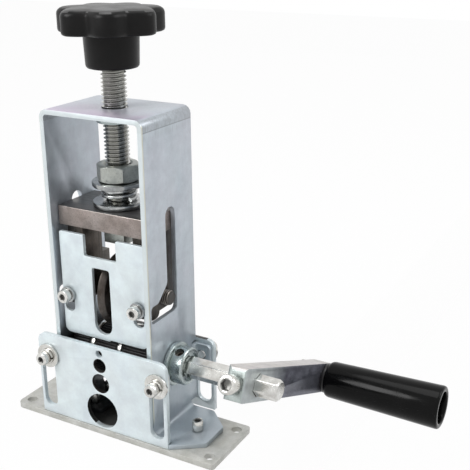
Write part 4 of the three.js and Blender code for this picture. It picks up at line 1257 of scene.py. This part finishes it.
def show_white(wiring: Wiring, share: float, white: bpy.types.Node, plain: bpy.types.Node, output: str) -> None:
    """Shows white to the rays from the camera, from gloss and through glass, and a plain shader to all others.

    Args:
        wiring: the nodes of the world or material.
        share: how white it is for those rays.
        white: the white shader.
        plain: the plain shader.
        output: type of the output node.
    """
    path = wiring.add("ShaderNodeLightPath")
    seen = wiring.math("MAXIMUM", path.outputs["Is Camera Ray"], path.outputs["Is Transmission Ray"])
    seen = wiring.math("MAXIMUM", seen, path.outputs["Is Glossy Ray"])
    blend = wiring.add("ShaderNodeMixShader")
    for index, source in enumerate((wiring.product(seen, share), plain.outputs[0], white.outputs[0])):
        wiring.join(source, blend.inputs[index])
    wiring.join(blend.outputs[0], wiring.add(output).inputs[0])


@dataclass
class Studio:
    """The camera, the lamps, the backdrop and the bench that the tool stands on."""

    eye: Triple = (0.254634, -0.334769, 0.254269)
    yaw: float = math.radians(29.266)
    pitch: float = math.radians(-19.775)
    roll: float = math.radians(-0.301)
    lens: float = 65.68
    bench_edge: float = 0.0684
    floor_height: float = -0.085

    def build(self) -> None:
        """Sets up the view, the light and the stage."""
        bpy.context.scene.view_settings.view_transform = "Standard"
        self._camera()
        self._world()
        self._lamps()
        self._stage()

    def _camera(self) -> None:
        """Puts the camera where the photograph was taken from."""
        data = bpy.data.cameras.new("photo_camera")
        data.lens = self.lens
        data.sensor_width = 36.0
        data.clip_start = 0.01
        camera = bpy.data.objects.new("photo_camera", data)
        bpy.context.scene.collection.objects.link(camera)
        camera.matrix_world = (
            Matrix.Translation(self.eye) @ Matrix.Rotation(self.yaw, 4, "Z")
            @ Matrix.Rotation(math.pi / 2 + self.pitch, 4, "X") @ Matrix.Rotation(self.roll, 4, "Z")
        )
        bpy.context.scene.camera = camera

    @staticmethod
    def _world() -> None:
        """Makes a world that is white to the eye and in reflections, and a soft light elsewhere."""
        world = bpy.data.worlds.new("studio_world")
        bpy.context.scene.world = world
        world.use_nodes = True
        wiring = Wiring(world.node_tree)
        world.node_tree.nodes.clear()
        white = wiring.add("ShaderNodeBackground", Color=(1, 1, 1, 1), Strength=1.0)
        soft = wiring.add("ShaderNodeBackground", Color=(1, 1, 1, 1), Strength=0.3)
        show_white(wiring, 1.0, white, soft, "ShaderNodeOutputWorld")

    @staticmethod
    def _lamps() -> None:
        """Hangs three soft area lamps."""
        for name, place, size, power in (
            ("key_lamp", (-0.45, -0.75, 0.75), 0.6, 8.0),
            ("top_lamp", (0.0, 0.1, 1.1), 0.7, 3.0),
            ("fill_lamp", (0.69, 0.35, 0.65), 0.5, 2.5),
        ):
            data = bpy.data.lights.new(name, "AREA")
            data.shape = "DISK"
            data.size = size
            data.energy = power
            lamp = bpy.data.objects.new(name, data)
            bpy.context.scene.collection.objects.link(lamp)
            aim = Vector((0.02, 0.0, 0.08)) - Vector(place)
            lamp.matrix_world = Matrix.Translation(place) @ aim.to_track_quat("-Z", "Y").to_matrix().to_4x4()

    def _stage(self) -> None:
        """Builds the bench under the base plate and the floor below it."""
        material = bpy.data.materials.new("pale_stage")
        material.use_nodes = True
        wiring = Wiring(material.node_tree)
        material.node_tree.nodes.clear()
        matte = wiring.add("ShaderNodeBsdfDiffuse", Color=(0.85, 0.85, 0.85, 1))
        white = wiring.add("ShaderNodeEmission", Strength=1.0)
        show_white(wiring, 0.97, white, matte, "ShaderNodeOutputMaterial")
        for name, low, high in (
            ("stage_bench", (-1.2, -1.0, self.floor_height), (self.bench_edge, 1.4, -0.0002)),
            ("stage_floor", (-3.0, -3.0, self.floor_height - 0.02), (3.0, 3.0, self.floor_height)),
        ):
            mesh = bmesh.new()
            bmesh.ops.create_cube(mesh, size=1.0)
            bmesh.ops.scale(mesh, vec=Vector(high) - Vector(low), verts=mesh.verts)
            bmesh.ops.translate(mesh, vec=(Vector(low) + Vector(high)) / 2, verts=mesh.verts)
            bmesh.ops.bevel(
                mesh, geom=mesh.edges[:], offset=0.002, offset_type="OFFSET", affect="EDGES", segments=3, profile=0.5,
                material=-1,
            )
            data = bpy.data.meshes.new(name)
            mesh.to_mesh(data)
            mesh.free()
            data.materials.append(material)
            stage = bpy.data.objects.new(name, data)
            bpy.context.scene.collection.objects.link(stage)


def main() -> None:
    """Builds every sub-assembly and the studio in order."""
    logging.basicConfig(level=logging.INFO, format="%(message)s")
    Studio().build()
    workshop = Workshop()
    for assembly in (
        Stand(workshop), GuidePlates(workshop), CrankDrive(workshop), PressureScrew(workshop), BladeCarriage(workshop),
    ):
        LOG.info("building %s", type(assembly).__name__)
        assembly.build()


if __name__ == "__main__":
    main()
